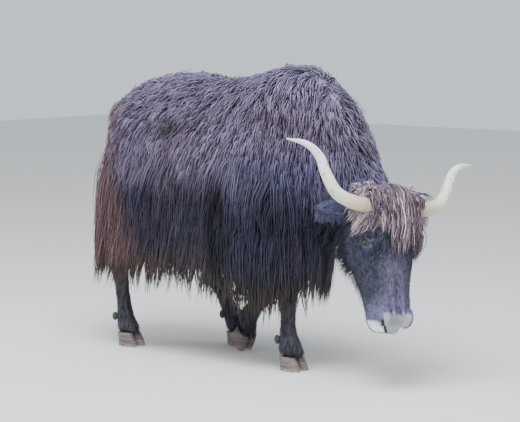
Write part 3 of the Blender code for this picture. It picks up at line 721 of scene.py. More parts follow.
class Paint:
    def __init__(self, name, roughness=0.5, **uniform):
        self.material = bpy.data.materials.new(name)
        self.material.use_nodes = True
        self.tree = self.material.node_tree
        self.shader = self.tree.nodes["Principled BSDF"]
        self.shader.inputs["Roughness"].default_value = roughness
        for key, value in uniform.items():
            self.shader.inputs[key.replace("_", " ")].default_value = value
        self.spot = self.add("ShaderNodeTexCoord", {}, {}, "Object")

    def add(self, kind, settings, sockets, out=0):
        node = self.tree.nodes.new(kind)
        for key, value in settings.items():
            if key == "stops":
                ramp = node.color_ramp
                while len(ramp.elements) < len(value):
                    ramp.elements.new(0.5)
                for element, (position, colour) in zip(ramp.elements, value):
                    element.position = position
                    element.color = (*colour, 1.0)
            else:
                setattr(node, key, value)
        for key, value in sockets.items():
            if isinstance(value, Value):
                self.tree.links.new(value.socket, node.inputs[key])
            else:
                node.inputs[key].default_value = value
        return Value(self, node.outputs[out])

    def feed(self, name, value):
        self.tree.links.new(value.socket, self.shader.inputs[name])

    def blend(self, mask, a, b, how="MIX"):
        sides = {}
        for index, side in ((6, a), (7, b)):
            sides[index] = side if isinstance(side, Value) else (*side, 1.0)
        return self.add("ShaderNodeMix", {"data_type": "RGBA", "blend_type": how}, {0: mask, **sides}, 2)

    def smooth(self, value, low, high):
        return self.add("ShaderNodeMapRange", {"interpolation_type": "SMOOTHSTEP"},
                        {"Value": value, "From Min": low, "From Max": high})

    def noise(self, vector, scale, detail=2.0, rough=0.5, stretch=None):
        if stretch:
            vector = self.add("ShaderNodeMapping", {}, {"Vector": vector, "Scale": stretch})
        return self.add("ShaderNodeTexNoise", {}, {"Vector": vector, "Scale": scale, "Detail": detail,
                                                   "Roughness": rough})

    def split(self, vector):
        node = self.tree.nodes.new("ShaderNodeSeparateXYZ")
        self.tree.links.new(vector.socket, node.inputs[0])
        return [Value(self, out) for out in node.outputs]

    def attribute(self, name):
        return self.add("ShaderNodeAttribute", {"attribute_name": name}, {}, "Fac")

    def bump(self, height, distance, strength=1.0, under=None):
        sockets = {"Height": height, "Distance": distance, "Strength": strength}
        if under is not None:
            sockets["Normal"] = under
        return self.add("ShaderNodeBump", {}, sockets)


coatColours = {
    "undersideShade": (0.021, 0.021, 0.044),          # blue-black painted shade under the belly, in the armpit and down the lower legs
    "main": (0.158, 0.118, 0.178),          # mauve-brown of the flank
    "skySheen": (0.190, 0.166, 0.275),     # painted blue-grey sheen of sky light along the back and crest, also in patches over the coat
    "shoulder": (0.096, 0.090, 0.165),
    "rust": (0.196, 0.108, 0.114),          # thighs, rump and the tail's sides
    "brown": (0.056, 0.038, 0.046),
    "straw": (0.180, 0.130, 0.088),         # worn tips of the fringe
    "worn": (0.056, 0.040, 0.054),          # rubbed patch on the right flank
    "face": (0.020, 0.022, 0.046),
    # painted highlight along the top of the nose bridge
    "bridgeHighlight": (0.078, 0.072, 0.122),
    "muzzle": (0.100, 0.100, 0.185),
    "pad": (0.400, 0.410, 0.450),
    "chin": (0.860, 0.880, 0.940),
    # near-black painted shade in the mouth line, the groove from nostril to mouth and the nostrils
    "recessShade": (0.010, 0.009, 0.012),
    "ear": (0.110, 0.114, 0.210),
}


def ownPlace(paint):
    return paint.add("ShaderNodeMapping", {}, {"Vector": paint.spot, "Location": tuple(-place)})


def headPlaceOf(paint):
    where = {"Location": tuple(head["poll"] + place), "Rotation": tuple(headPlace.to_euler("XYZ"))}
    return paint.add("ShaderNodeMapping", {"vector_type": "TEXTURE"}, {"Vector": paint.spot, **where})


def bodyColour(paint):
    # the markings, painted sky sheen and painted shade that skin and coat share
    colours = coatColours
    spot = ownPlace(paint)
    x, y, z = paint.split(spot)
    patches = paint.noise(spot, 3.4, 3.0)
    streaks = paint.noise(spot, 15.0, 3.0, stretch=(1.5, 1.5, 0.40))
    level = z + (patches - 0.5) * 0.34
    # painted sky sheen: in patches over the coat, and over the whole back and crest
    colour = paint.blend(paint.smooth(patches, 0.38, 0.62) * 0.7, colours["main"], colours["skySheen"])
    colour = paint.blend(paint.smooth(level, 1.05, 1.22), colour, colours["skySheen"])
    front = paint.smooth(x, 0.02, 0.30)
    colour = paint.blend(front * (1 - paint.smooth(level, 0.80, 1.04)), colour, colours["shoulder"])
    # painted shade: darker towards the bottom, under the belly, in the armpit and down the legs
    under = 1 - paint.smooth(level + x * 0.10, 0.66, 0.86)
    colour = paint.blend(under * 0.92, colour, colours["undersideShade"])
    hem = (1 - paint.smooth(level, 0.38, 0.60)) * (1 - paint.smooth(x, -0.10, 0.20))
    colour = paint.blend(hem * 0.85, colour, colours["brown"])
    # painted shade: near-black in the gap between the forelegs' bell of hair and the belly's skirt
    gapShade = (1 - paint.smooth(abs(x - 0.145), 0.025, 0.095)) * (1 - paint.smooth(z, 0.66, 0.90))
    colour = paint.blend(gapShade * 0.9, colour, (0.004, 0.005, 0.012))
    rear = 1 - paint.smooth(x + (streaks - 0.5) * 0.55 + (z - 0.7) * 0.40, -0.60, -0.36)
    colour = paint.blend(rear * 0.80, colour, colours["rust"])
    rusty = paint.smooth(streaks, 0.54, 0.72) * paint.smooth(patches, 0.46, 0.62)
    colour = paint.blend(rusty * 0.30, colour, colours["rust"])
    across = ((x + 0.165) * (x + 0.165) + (z - 1.010) * (z - 1.010) * 1.6) ** 0.5
    worn = 1 - paint.smooth(across + (streaks - 0.5) * 0.04, 0.035, 0.085)
    onRight = 1 - paint.smooth(y, -0.12, -0.05)
    colour = paint.blend(worn * onRight * 0.75, colour, colours["worn"])
    return paint.blend(1 - paint.smooth(z, 0.30, 0.44), colour, (0.018, 0.017, 0.028))


def underNose(wide, z):
    # how far a place lies inside the nose pad from the groove that runs from nostril to mouth
    return (z - wide * 1.295 + 0.0508) * 0.61


def nosePad(paint, x, wide, z):
    top = paint.smooth(x + z * 0.35 - wide * 0.06, 0.500, 0.514)
    return top * paint.smooth(underNose(wide, z), 0.004, 0.008)


def faceColour(paint, colour):
    colours = coatColours
    local = headPlaceOf(paint)
    x, y, z = paint.split(local)
    wide = abs(y)
    mottle = paint.noise(local, 24.0, 3.0)
    near = (1 - paint.smooth(wide, 0.30, 0.34)) * paint.smooth(z, -0.34, -0.30)
    colour = paint.blend(paint.smooth(x, 0.015, 0.06) * near, colour, colours["face"])
    ear = paint.smooth(wide, 0.150, 0.185) * (1 - paint.smooth(x, 0.20, 0.24))
    colour = paint.blend(ear * near, colour, colours["ear"])
    # painted highlight along the top of the nose bridge
    bridgeHighlight = paint.smooth(x, 0.20, 0.32) * (1 - paint.smooth(wide, 0.030, 0.085))
    colour = paint.blend(bridgeHighlight * paint.smooth(z, 0.0, 0.045) * 0.85 * near, colour, colours["bridgeHighlight"])
    muzzle = paint.smooth(x + (mottle - 0.5) * 0.08, 0.395, 0.490)
    colour = paint.blend(muzzle * 0.92 * near, colour, colours["muzzle"])
    edge = z - (x - 0.41) * 0.133
    # painted shade along the mouth line
    mouthLineShade = (1 - paint.smooth(abs(edge + 0.079), 0.003, 0.011)) * paint.smooth(x, 0.46, 0.50) * near
    chin = paint.smooth(x + (mottle - 0.5) * 0.05, 0.435, 0.490) * (1 - paint.smooth(edge, -0.090, -0.082))
    colour = paint.blend(chin * near, colour, colours["chin"])
    outer = 1 - paint.smooth(underNose(wide, z), -0.010, -0.004)
    white = paint.smooth(x - z * 0.20 + (mottle - 0.5) * 0.03, 0.508, 0.526) * outer * near
    colour = paint.blend(white * (1 - paint.smooth(z, 0.0, 0.03)), colour, colours["chin"])
    middle = (1 - paint.smooth(wide + abs(x - 0.520) * 1.5, 0.018, 0.045)) * 0.55
    padTone = paint.blend(middle, colours["pad"], (0.190, 0.195, 0.215))
    colour = paint.blend(nosePad(paint, x, wide, z) * near, colour, padTone)
    # painted shade in the groove from nostril to mouth and in the nostril
    front = paint.smooth(x, 0.512, 0.522) * near
    groove = 1 - paint.smooth(abs(underNose(wide, z)), 0.003, 0.007)
    colour = paint.blend(groove * front, colour, colours["recessShade"])
    fromHole = ((wide - 0.047) * (wide - 0.047) + (z - 0.003) * (z - 0.003)) ** 0.5
    nostril = 1 - paint.smooth(fromHole, 0.009, 0.014)
    colour = paint.blend(nostril * front, colour, colours["recessShade"])
    return paint.blend(mouthLineShade, colour, colours["recessShade"])


def skinFinish():
    paint = Paint("skinShort", roughness=0.62)
    local = headPlaceOf(paint)
    x, y, z = paint.split(local)
    colour = faceColour(paint, bodyColour(paint))
    sideOf = abs(y) - face["eye"][1]
    up, out = sin(face["eyeUp"]), cos(face["eyeUp"])
    across = (z - face["eye"][2]) * out - sideOf * up
    away = (z - face["eye"][2]) * up + sideOf * out
    along = x - face["eye"][0]
    tilt = face["openingTilt"]
    longWay = along * cos(tilt) - across * sin(tilt)
    shortWay = across * cos(tilt) + along * sin(tilt)
    aroundEye = (longWay * longWay + shortWay * shortWay * 2.4) ** 0.5
    onEye = paint.smooth(away, 0.004, 0.012) * (1 - paint.smooth(abs(along), 0.05, 0.06))
    folds = (1 - paint.smooth(aroundEye, 0.026, 0.050)) * onEye
    lids = (1 - paint.smooth(aroundEye, 0.0205, 0.0245)) * onEye
    colour = paint.blend(folds * 0.75, colour, (0.076, 0.080, 0.128))
    colour = paint.blend(lids, colour, (0.008, 0.008, 0.011))
    padMask = nosePad(paint, x, abs(y), z)
    grain = paint.noise(local, 260.0, 2.0)
    hairs = paint.noise(local, 95.0, 3.0, 0.6, stretch=(0.26, 1.0, 1.0))
    cells = paint.add("ShaderNodeTexVoronoi", {"feature": "DISTANCE_TO_EDGE"},
                      {"Vector": local, "Scale": 300.0})
    lighter = paint.smooth(hairs, 0.40, 0.75) * 0.14 * (1 - padMask)
    colour = paint.blend(lighter, colour, (0.080, 0.080, 0.115))
    # painted shade: darker in the creases of the nose pad
    creases = (1 - paint.smooth(cells, 0.02, 0.12)) * padMask
    colour = paint.blend(creases * 0.45, colour, (0.14, 0.14, 0.16))
    paint.feed("Base Color", colour)
    paint.feed("Roughness", 0.66 - padMask * 0.30)
    fine = paint.bump(hairs * (1 - padMask) + paint.smooth(cells, 0.0, 0.15) * padMask * 0.6, 0.0016, 0.8)
    paint.feed("Normal", paint.bump(grain, 0.0004, 0.5, fine))
    return paint.material


def hairFinish(name, onFace=False, tint=None, tips=0.0, roughness=0.46, fine=5.0):
    paint = Paint(name, roughness=roughness, Specular_IOR_Level=0.32)
    tone, reach, across = (paint.attribute(word) for word in ("tone", "reach", "across"))
    if tint:
        colour = paint.blend(paint.smooth(tone, 0.0, 1.0), tint[0], tint[1])
        colour = paint.blend(paint.smooth(tone, 0.82, 0.95), colour, tint[2])
    else:
        colour = bodyColour(paint)
        if onFace:
            colour = faceColour(paint, colour)
    if tips:
        z = paint.split(ownPlace(paint))[2]
        low = 1 - paint.smooth(z, 0.30, 0.55)
        colour = paint.blend(paint.smooth(reach, 0.55, 1.0) * low * tips, colour, coatColours["straw"])
    # every tuft shows the single hairs that it stands for
    lengthwise = paint.add("ShaderNodeCombineXYZ", {}, {0: across * fine, 1: reach * 1.3, 2: tone * 60.0})
    fibres = paint.noise(lengthwise, 1.0, 2.0, 0.7)
    shade = 0.18 + tone * 1.05 + (fibres - 0.5) * 1.25 + reach * 0.20
    grey = paint.add("ShaderNodeCombineColor", {}, {0: shade, 1: shade, 2: shade})
    paint.feed("Base Color", paint.blend(1.0, colour, grey, "MULTIPLY"))
    paint.feed("Roughness", roughness - 0.10 + fibres * 0.20)
    paint.feed("Normal", paint.bump(fibres, 0.0016, 0.6))
    return paint.material


skinMaterial = skinFinish()
coatMaterial = hairFinish("coatHair")
skirtMaterial = hairFinish("skirtHair", tips=0.45)
tailTints = ((0.085, 0.042, 0.048), (0.560, 0.300, 0.320), (0.70, 0.58, 0.52))
crownTints = ((0.070, 0.050, 0.066), (0.430, 0.310, 0.390), (0.74, 0.62, 0.56))
tailMaterial = hairFinish("tailHair", tint=tailTints)
crownMaterial = hairFinish("crownHair", tint=crownTints, roughness=0.52)
faceMaterial = hairFinish("faceHair", onFace=True, roughness=0.50, fine=2.0)

print("finishes made")


# The lying coat of trunk and neck

coat = {
    "strands": 31500,
    "length": (0.090, 0.150),
    "halfWidth": (0.0019, 0.0039),
    "lift": (0.012, 0.032),
    "clumpEvery": 9,
    "clumpHold": 0.52,
}


def neckCentreY(x):
    rows = np.array(body["neck"])
    return np.interp(x, rows[:, 0], rows[:, 1])


def lieOf(points, normals):
    # which way the coat lies
    x, y, z = points.T
    side = np.where(y - neckCentreY(x) >= 0, 1.0, -1.0)
    ones = np.ones(len(points))
    onNeck = ramp(x, 0.46, 0.62)
    shoulder = ramp(x, 0.12, 0.34) * (1 - onNeck)
    high = ramp(z, 0.85, 1.15)
    rearward = -(0.42 + 0.40 * high) * (1 - shoulder) * (1 - onNeck) - 0.08 * shoulder + 0.40 * onNeck
    rearward = rearward * (1 - 0.7 * ramp(-x, 0.45, 0.70))
    flank = np.stack([rearward, 0.05 * side, -ones], axis=1)
    parting = ramp(abs(y - neckCentreY(x)), 0.0, 0.06)
    back = np.stack([-0.75 * (1 - onNeck) + 0.25 * onNeck, side * (0.75 * parting + 0.25 * onNeck),
                     -0.12 * ones], axis=1)
    top = ramp(normals[:, 2], 0.62, 0.97)[:, None]
    way = unit(flank) * (1 - top) + unit(back) * top
    way = unit(way - normals * dot(way, normals))
    loose = 1 + 0.9 * ramp(z, 1.02, 1.20) * (1 - shoulder)
    sway = (radians(13) * ripple(points, 7.0, 3) + radians(9) * ripple(points, 24.0, 4)) * loose
    turned = way * np.cos(sway)[:, None] + np.cross(normals, way) * np.sin(sway)[:, None]
    return unit(turned)


def offHead(points):
    x, y, z = inHead(points).T
    back = np.where(z > -0.03, -0.05, 0.0)
    return ~((x > back) & (x < 0.62) & (abs(y) < 0.34) & (abs(z) < 0.30))


def coatWeight(points, normals):
    trunk = offHead(points) & ((points[:, 2] > 0.52) | (points[:, 0] > 0.55)) & (points[:, 0] > -0.735)
    under = (normals[:, 2] < -0.55) & (points[:, 0] < 0.55)
    return trunk * np.where(under, 0.30, 1.0)


def clumped(points, paths, every, hold, draw):
    centres = draw.choice(len(points), max(len(points) // every, 1), replace=False)
    tree = KDTree(len(centres))
    for i, index in enumerate(centres):
        tree.insert(points[index], i)
    tree.balance()
    mine = centres[[tree.find(point)[1] for point in points]]
    rings = paths.shape[1]
    pull = (np.linspace(0, 1, rings) ** 1.2 * hold)[None, :, None]
    target = paths[mine] + 0.22 * (points - points[mine])[:, None]
    return paths * (1 - pull) + target * pull, mine


def makeCoat():
    count = coat["strands"]
    draw = np.random.default_rng(2)
    points, normals = rootsOn(count, 1, coatWeight)
    way = lieOf(points, normals)
    x, y, z = points.T
    length = draw.uniform(*coat["length"], count) * (0.62 + 0.55 * (1 - ramp(z, 0.60, 1.15)))
    length *= 1 - 0.20 * ramp(x, 0.70, 0.90)
    lift = draw.uniform(*coat["lift"], count) * (1 + 0.35 * (draw.random(count) > 0.93))
    rises = (1.0, 0.25, -0.10, -0.16)
    rings = len(rises) + 1
    paths = np.empty((count, rings, 3))
    paths[:, 0] = points - normals * 0.006
    step = way.copy()
    spot = paths[:, 0].copy()
    wave = draw.normal(0, 0.09, (count, 1)) * np.cross(normals, way)
    for k, rise in enumerate(rises, 1):
        spot = spot + step * (length / (rings - 1))[:, None] + normals * (lift * rise)[:, None]
        paths[:, k] = spot
        bend = wave if k % 2 else -wave
        loose = draw.normal(0, 0.03, (count, 3))
        step = unit(step + np.array([0, 0, -0.14]) - normals * 0.05 + bend + loose)
    paths, mine = clumped(points, paths, coat["clumpEvery"], coat["clumpHold"], draw)
    halfWidth = draw.uniform(*coat["halfWidth"], count)
    widths = halfWidth[:, None] * np.array([0.75, 1.0, 0.95, 0.62, 0.0])[None]
    tone = 0.42 + 0.17 * draw.normal(size=count) + 0.15 * draw.normal(size=count)[mine]
    tone = np.clip(tone + 0.10 * ripple(points, 9.0, 8), 0.0, 1.0)
    across = np.cross(way, normals) + draw.normal(0, 0.12, (count, 3))
    spots = roundBody(points)
    for side, word in ((1, "left"), (-1, "right")):
        mineSide = np.where((y - neckCentreY(x)) * side > 0)[0]
        order = mineSide[np.argsort(x[mineSide])]
        for part, name in zip(np.array_split(order, 3), ("rump", "flank", "shoulder")):
            strandPiece("coat_" + name + "_" + word, paths[part], widths[part], across[part][:, None],
                        normals[part][:, None], tone[part], spots[part], coatMaterial)
    print("lying coat", count)


makeCoat()


# Long locks: bundles of strands that close up towards their tips

def lockStrands(lockPaths, across, outward, kind, draw):
    # paths of locks (locks, rings, 3) made into paths and widths of strands, and the lock that each is of
    locks, rings = lockPaths.shape[:2]
    count = locks * kind["perLock"]
    mine = np.repeat(np.arange(locks), kind["perLock"])
    base = lockPaths[mine]
    f = np.linspace(0, 1, rings)
    scale = draw.uniform(0.80, 1.06, count)
    t = np.clip(f[None] * scale[:, None] * (rings - 1), 0, rings - 1.001)
    i = t.astype(int)
    g = (t - i)[..., None]
    rowsOf = np.arange(count)[:, None]
    paths = base[rowsOf, i] * (1 - g) + base[rowsOf, np.minimum(i + 1, rings - 1)] * g
    over = (f[None] * scale[:, None] - 1).clip(0)[..., None]
    paths = paths + over * (base[:, -1:] - base[:, -2:-1]) * (rings - 1)
    size = np.interp(f, [0, 0.5, 1], kind["spread"])[None, :, None]
    a, b = draw.normal(0, 0.55, (2, count, 1, 1))
    across, outward = across[mine][:, None], outward[mine][:, None]
    paths = paths + across * a * size + outward * b * size * 0.6
    phase, beat = draw.uniform(0, 2 * pi, (count, 1)), draw.uniform(0.7, 1.8, (count, 1))
    swing = np.sin(phase + 2 * pi * beat * f[None]) * f[None] * kind["wave"]
    lean = np.cos(phase * 1.7 + 2 * pi * beat * 0.8 * f[None]) * f[None] * kind["wave"] * 0.7
    paths = paths + across * swing[..., None] + outward * lean[..., None]
    taper = np.interp(f, [0, 0.2, 0.8, 1], [0.7, 1.0, 0.72, 0.0])
    return paths, draw.uniform(*kind["halfWidth"], count)[:, None] * taper[None], mine


def lockTone(kind, locks, mine, draw):
    # how light each strand is, some of it shared by its whole lock
    middle, single, shared = kind["tone"]
    tone = middle + single * draw.normal(size=len(mine))
    if shared:
        tone = tone + shared * draw.normal(size=locks)[mine]
    return np.clip(tone, 0, 1)


def lockPiece(name, paths, across, outward, kind, spotsOf, loose, finish, draw):
    strands, widths, mine = lockStrands(paths, across, outward, kind, draw)
    tone = lockTone(kind, len(paths), mine, draw)
    spots = spotsOf(paths[mine, 0] + draw.normal(0, loose, (len(mine), 3)))
    across, outward = across[mine][:, None], outward[mine][:, None]
    strandPiece(name, strands, widths, across, outward, tone, spots, finish)
    print(name, len(strands))


skirt = {
    "edge": (             # x, y, level of the tips, round the right side, chest and left side
        (-0.680, -0.060, 0.382),
        (-0.640, -0.155, 0.302),
        (-0.500, -0.215, 0.282),
        (-0.300, -0.252, 0.292),
        (-0.080, -0.272, 0.312),
        (0.130, -0.272, 0.282),
        (0.300, -0.256, 0.247),
        (0.430, -0.222, 0.257),
        (0.500, -0.130, 0.292),
        (0.490, -0.020, 0.312),
        (0.435, 0.085, 0.297),
        (0.360, 0.170, 0.272),
        (0.250, 0.232, 0.262),
        (0.100, 0.264, 0.282),
        (-0.080, 0.272, 0.312),
        (-0.300, 0.252, 0.292),
        (-0.500, 0.215, 0.282),
        (-0.640, 0.155, 0.302),
        (-0.680, 0.060, 0.382),
    ),
    "locks": 860,
    "perLock": 12,
    "rings": 6,
    "spread": (0.030, 0.024, 0.005),    # half-size of a lock at its root, middle and tip
    "halfWidth": (0.0020, 0.0036),
    "wave": 0.007,
    "tone": (0.40, 0.16, 0.16),
    "bell": 0.19,         # where the foreleg's bell of hair begins, ahead of the belly's skirt
}


def nearestOn(points):
    # nearest places on the skin and the way out of it there
    found = [skinTree.find_nearest(Vector(point)) for point in points]
    return np.array([hit[0] for hit in found]), np.array([hit[1] for hit in found])


def edgeSamples():
    ts = np.linspace(0, 1, 240)
    rows = np.array([alongStations(skirt["edge"], t) for t in ts])
    run = np.gradient(rows[:, :2], axis=0)
    run = run / np.linalg.norm(run, axis=1, keepdims=True)
    out = np.stack([run[:, 1], -run[:, 0]], axis=1)
    length = np.concatenate([[0], np.cumsum(np.linalg.norm(np.diff(rows[:, :2], axis=0), axis=1))])
    return length / length[-1], rows, out


def makeSkirt():
    draw = np.random.default_rng(14)
    locks = skirt["locks"]
    share, rows, out = edgeSamples()
    t = (np.arange(locks) * 0.618034 + draw.uniform(0, 0.02, locks)) % 1.0
    x, y, hem = (np.interp(t, share, rows[:, k]) for k in range(3))
    outX, outY = (np.interp(t, share, out[:, k]) for k in range(2))
    outward = unit(np.stack([outX, outY, np.zeros(locks)], axis=1))
    along = np.cross(outward, [0, 0, 1.0])
    bell = ramp(x, skirt["bell"] - 0.03, skirt["bell"] + 0.03)
    tier = draw.random(locks) ** 2.0
    tip = hem + tier * 0.32 + draw.uniform(-0.040, 0.022, locks) - 0.015 * bell
    drop = draw.uniform(0.26, 0.40, locks) + 0.07 * (1 - tier)
    top = tip + drop
    base = np.stack([x, y, top], axis=1)
    near, normals = nearestOn(base - outward * 0.02)
    rings = skirt["rings"]
    f = np.linspace(0, 1, rings)
    sweep = -drop * draw.uniform(0.05, 0.34, locks) * abs(outward[:, 1])
    sweep = sweep * (1 - 0.75 * bell)
    lie = 0.026 * tier + draw.uniform(0.0, 0.016, locks) + 0.020 * bell
    sway = draw.normal(0, 0.012, locks)
    paths = np.empty((locks, rings, 3))
    for k, at in enumerate(f):
        hang = np.stack([x, y, top * (1 - at) + tip * at], axis=1)
        hang = hang + outward * (lie * (1 - 0.5 * at * at))[:, None]
        hang[:, 0] += sweep * at
        hang = hang + along * (sway * np.sin(pi * at * 1.2))[:, None]
        hold = min(at / 0.42, 1.0)
        hold = hold * hold * (3 - 2 * hold)
        start = near + normals * (0.02 * min(at * 4, 1) - 0.008)
        start[:, 2] -= drop * at
        paths[:, k] = start * (1 - hold) + hang * hold
    strands, widths, mine = lockStrands(paths, along, outward, skirt, draw)
    tone = lockTone(skirt, locks, mine, draw)
    spots = roundBody(paths[mine, 0] + draw.normal(0, 0.012, (len(mine), 3)))
    for side, word in ((1, "left"), (-1, "right")):
        part = np.where((strands[:, 3, 1] > 0) if side > 0 else (strands[:, 3, 1] <= 0))[0]
        strandPiece("skirt_" + word, strands[part], widths[part], along[mine][part][:, None],
                    outward[mine][part][:, None], tone[part], spots[part], skirtMaterial)
    print("skirt", len(strands))


makeSkirt()


def makeTailHair():
    draw = np.random.default_rng(6)
    locks = tail["locks"]
    t = draw.random(locks) ** 0.85
    core = np.array([alongStations(tail["core"], s) for s in 0.22 + 0.76 * t])
    turn = draw.uniform(0, 2 * pi, locks)
    out = np.stack([np.sin(turn), np.cos(turn), np.zeros(locks)], axis=1)
    across = np.stack([np.cos(turn), -np.sin(turn), np.zeros(locks)], axis=1)
    drop = draw.uniform(0.26, 0.42, locks)
    drop = np.minimum(drop, core[:, 2] - tail["tip"] - draw.uniform(0, 0.10, locks))
    rings = 7
    f = np.linspace(0, 1, rings)
    bulge = draw.uniform(0.020, 0.062, locks)
    paths = np.empty((locks, rings, 3))
    for k, at in enumerate(f):
        flare = np.interp(at, [0, 0.3, 0.7, 1.0], [0.2, 0.85, 1.0, 0.65])
        paths[:, k] = core[:, :3] + out * (bulge * flare)[:, None] * np.array([0.75, 1.1, 1])
        paths[:, k, 2] -= drop * at
        paths[:, k, 0] -= 0.030 * at
        paths[:, k, 1] -= 0.008 * at
    strands, widths, mine = lockStrands(paths, across, out, tail, draw)
    tone = lockTone(tail, locks, mine, draw)
    high = paths[mine, 0, 2]
    spots = np.stack([0.02 + 0.95 * (turn[mine] / (2 * pi)), 0.02 + 0.95 * ramp(high, 0.55, 1.1)], axis=1)
    spots = spots + draw.normal(0, 0.004, spots.shape)
    strandPiece("tail_hair", strands, widths, across[mine][:, None], out[mine][:, None], tone, spots,
                tailMaterial)
    print("tail hair", len(strands))


makeTailHair()


# Short fur of the face, ears and lower legs

shortFur = {"face": 11500, "legs": 6000, "ears": 1700, "jaw": 3000}


def faceLie(points, normals):
    local = inHead(points)
    _, y, z = local.T
    side = np.sign(y)
    ones = np.ones(len(points))
    brow = np.stack([ones, 0.15 * side, 0 * ones], axis=1)
    cheek = np.stack([0.55 - 0.9 * ramp(-z, 0.02, 0.10), 0.1 * side, -0.8 * ones], axis=1)
    low = ramp(-z, -0.02, 0.06)[:, None]
    way = (brow * (1 - low) + cheek * low) @ headTurn.T
    way = unit(way - normals * dot(way, normals))
    sway = radians(20) * ripple(points, 30.0, 12)
    return unit(way * np.cos(sway)[:, None] + np.cross(normals, way) * np.sin(sway)[:, None])


def earSpan(side):
    word = "left" if side > 0 else "right"
    droop, sweep = ears["lie"][word]
    lay = Matrix.Rotation(side * sweep, 4, "Z") @ Matrix.Rotation(-side * droop, 4, "X")
    where = (headPlace @ Matrix.Translation(flipped(ears["base"], side))
             @ Matrix.Rotation(-head["pitch"] * 0.55, 4, "Y") @ lay)
    return np.array(where)


earFrames = {side: earSpan(side) for side in (1, -1)}


def inEar(points, side):
    matrix = np.linalg.inv(earFrames[side])
    return points @ matrix[:3, :3].T + matrix[:3, 3]


def onEar(points):
    found = np.zeros(len(points), int)
    for side in (1, -1):
        local = inEar(points, side)
        along = local[:, 1] * side
        hit = (along > 0.035) & (along < 0.2) & (abs(local[:, 0]) < 0.035) & (abs(local[:, 2]) < 0.055)
        found[hit] = side
    return found


def faceWeight(points, _):
    local = inHead(points)
    x, y, z = local.T
    on = (~offHead(points)) & (onEar(points) == 0)
    eye = np.minimum(np.linalg.norm(local - np.array(face["eye"]), axis=1),
                     np.linalg.norm(local - np.array(flipped(face["eye"], -1)), axis=1))
    bare = (x + z * 0.35 > 0.495) & (z > abs(y) * 1.295 - 0.062)
    mouth = (x > 0.40) & (abs(z + 0.066) < 0.010)
    return on * (eye > 0.029) * ~bare * ~mouth * (1.0 - 0.35 * ramp(x, 0.40, 0.50))


def shortPiece(name, points, normals, way, length, halfWidth, lift, seed, finish, spots, down=0.0):
    draw = np.random.default_rng(seed)
    count = len(points)
    reach = draw.uniform(0.75, 1.25, count) * length
    paths = np.empty((count, 3, 3))
    paths[:, 0] = points - normals * 0.002
    middle, tip = lift * draw.uniform(0.6, 1.4, count), lift * 1.2 * draw.uniform(0.4, 1.5, count)
    paths[:, 1] = points + way * (reach * 0.5)[:, None] + normals * middle[:, None]
    paths[:, 2] = points + way * reach[:, None] + normals * tip[:, None] - np.array([0, 0, down])
    width = draw.uniform(*halfWidth, count)[:, None] * np.array([0.9, 0.8, 0.0])[None]
    tone = np.clip(0.56 + 0.15 * draw.normal(size=count) + 0.10 * ripple(points, 30.0, seed + 5), 0, 1)
    across = np.cross(way, normals) + draw.normal(0, 0.1, (count, 3))
    strandPiece(name, paths, width, across[:, None], normals[:, None], tone, spots, finish)


def makeShortFur():
    quick = 1
    points, normals = rootsOn(shortFur["face"] // quick, 21, faceWeight)
    local = inHead(points)
    length = 0.012 + 0.010 * (1 - ramp(local[:, 0], 0.15, 0.42))
    way = faceLie(points, normals)
    shortPiece("face_fur", points, normals, way, length, (0.0007, 0.0014), 0.0018, 22,
               faceMaterial, roundHead(points))

    def legWeight(spots, ways):
        return (spots[:, 2] < 0.56) & offHead(spots) & (abs(spots[:, 1]) < 0.26) & (spots[:, 0] > -0.70)

    points, normals = rootsOn(shortFur["legs"] // quick, 31, legWeight)
    down = np.tile([0.0, 0.0, -1.0], (len(points), 1))
    way = unit(down - normals * dot(down, normals) + 1e-6)
    length = 0.018 + 0.014 * ramp(points[:, 2], 0.12, 0.5) + 0.016 * ramp(0.15 - points[:, 2], 0.0, 0.06)
    shortPiece("leg_fur", points, normals, way, length, (0.0010, 0.0020), 0.0030, 32,
               faceMaterial, roundLegs(points), down=0.004)

    points, normals = rootsOn(shortFur["ears"] // quick, 41, lambda spots, ways: onEar(spots) != 0)
    side = onEar(points)
    way = np.empty_like(points)
    for which in (1, -1):
        mine = side == which
        way[mine] = earFrames[which][:3, 1] * which + np.array([0, 0, -0.35])
    way = unit(way - normals * dot(way, normals))
    shortPiece("ear_fur", points, normals, way, 0.020, (0.0008, 0.0015), 0.0030, 42,
               faceMaterial, roundHead(points), down=0.003)
    print("short fur")


def jawWeight(points, _):
    x, _, z = inHead(points).T
    low = ramp(-z, 0.07, 0.16) * ramp(x, -0.02, 0.04) * (1 - ramp(x, 0.36, 0.44))
    return low * (~offHead(points)) * (onEar(points) == 0)


def makeJawHair():
    draw = np.random.default_rng(45)
    count = shortFur["jaw"]
    points, normals = rootsOn(count, 46, jawWeight)
    local = inHead(points)
    back = headTurn @ np.array([0.25, 0.0, -0.9])
    length = draw.uniform(0.035, 0.082, count) * (1 - 0.50 * ramp(local[:, 0], 0.15, 0.40))
    rings = 5
    paths = np.empty((count, rings, 3))
    spot = points - normals * 0.003
    step = unit(normals * 0.55 + back + draw.normal(0, 0.16, (count, 3)))
    for k in range(rings):
        paths[:, k] = spot
        spot = spot + step * (length / (rings - 1))[:, None]
        step = unit(step + np.array([0, 0, -0.22]) - normals * 0.10)
    paths = clumped(points, paths, 6, 0.35, draw)[0]
    widths = draw.uniform(0.0006, 0.0013, count)[:, None] * np.array([0.9, 1.0, 0.8, 0.5, 0.0])[None]
    tone = np.clip(0.36 + 0.17 * draw.normal(size=count), 0, 1)
    across = np.cross(step, normals) + draw.normal(0, 0.2, (count, 3))
    strandPiece("jaw_hair", paths, widths, across[:, None], normals[:, None], tone, roundHead(points),
                faceMaterial)
    print("jaw hair", count)


makeShortFur()
makeJawHair()


# Forelock, crown wool, ear fringes and throat hair

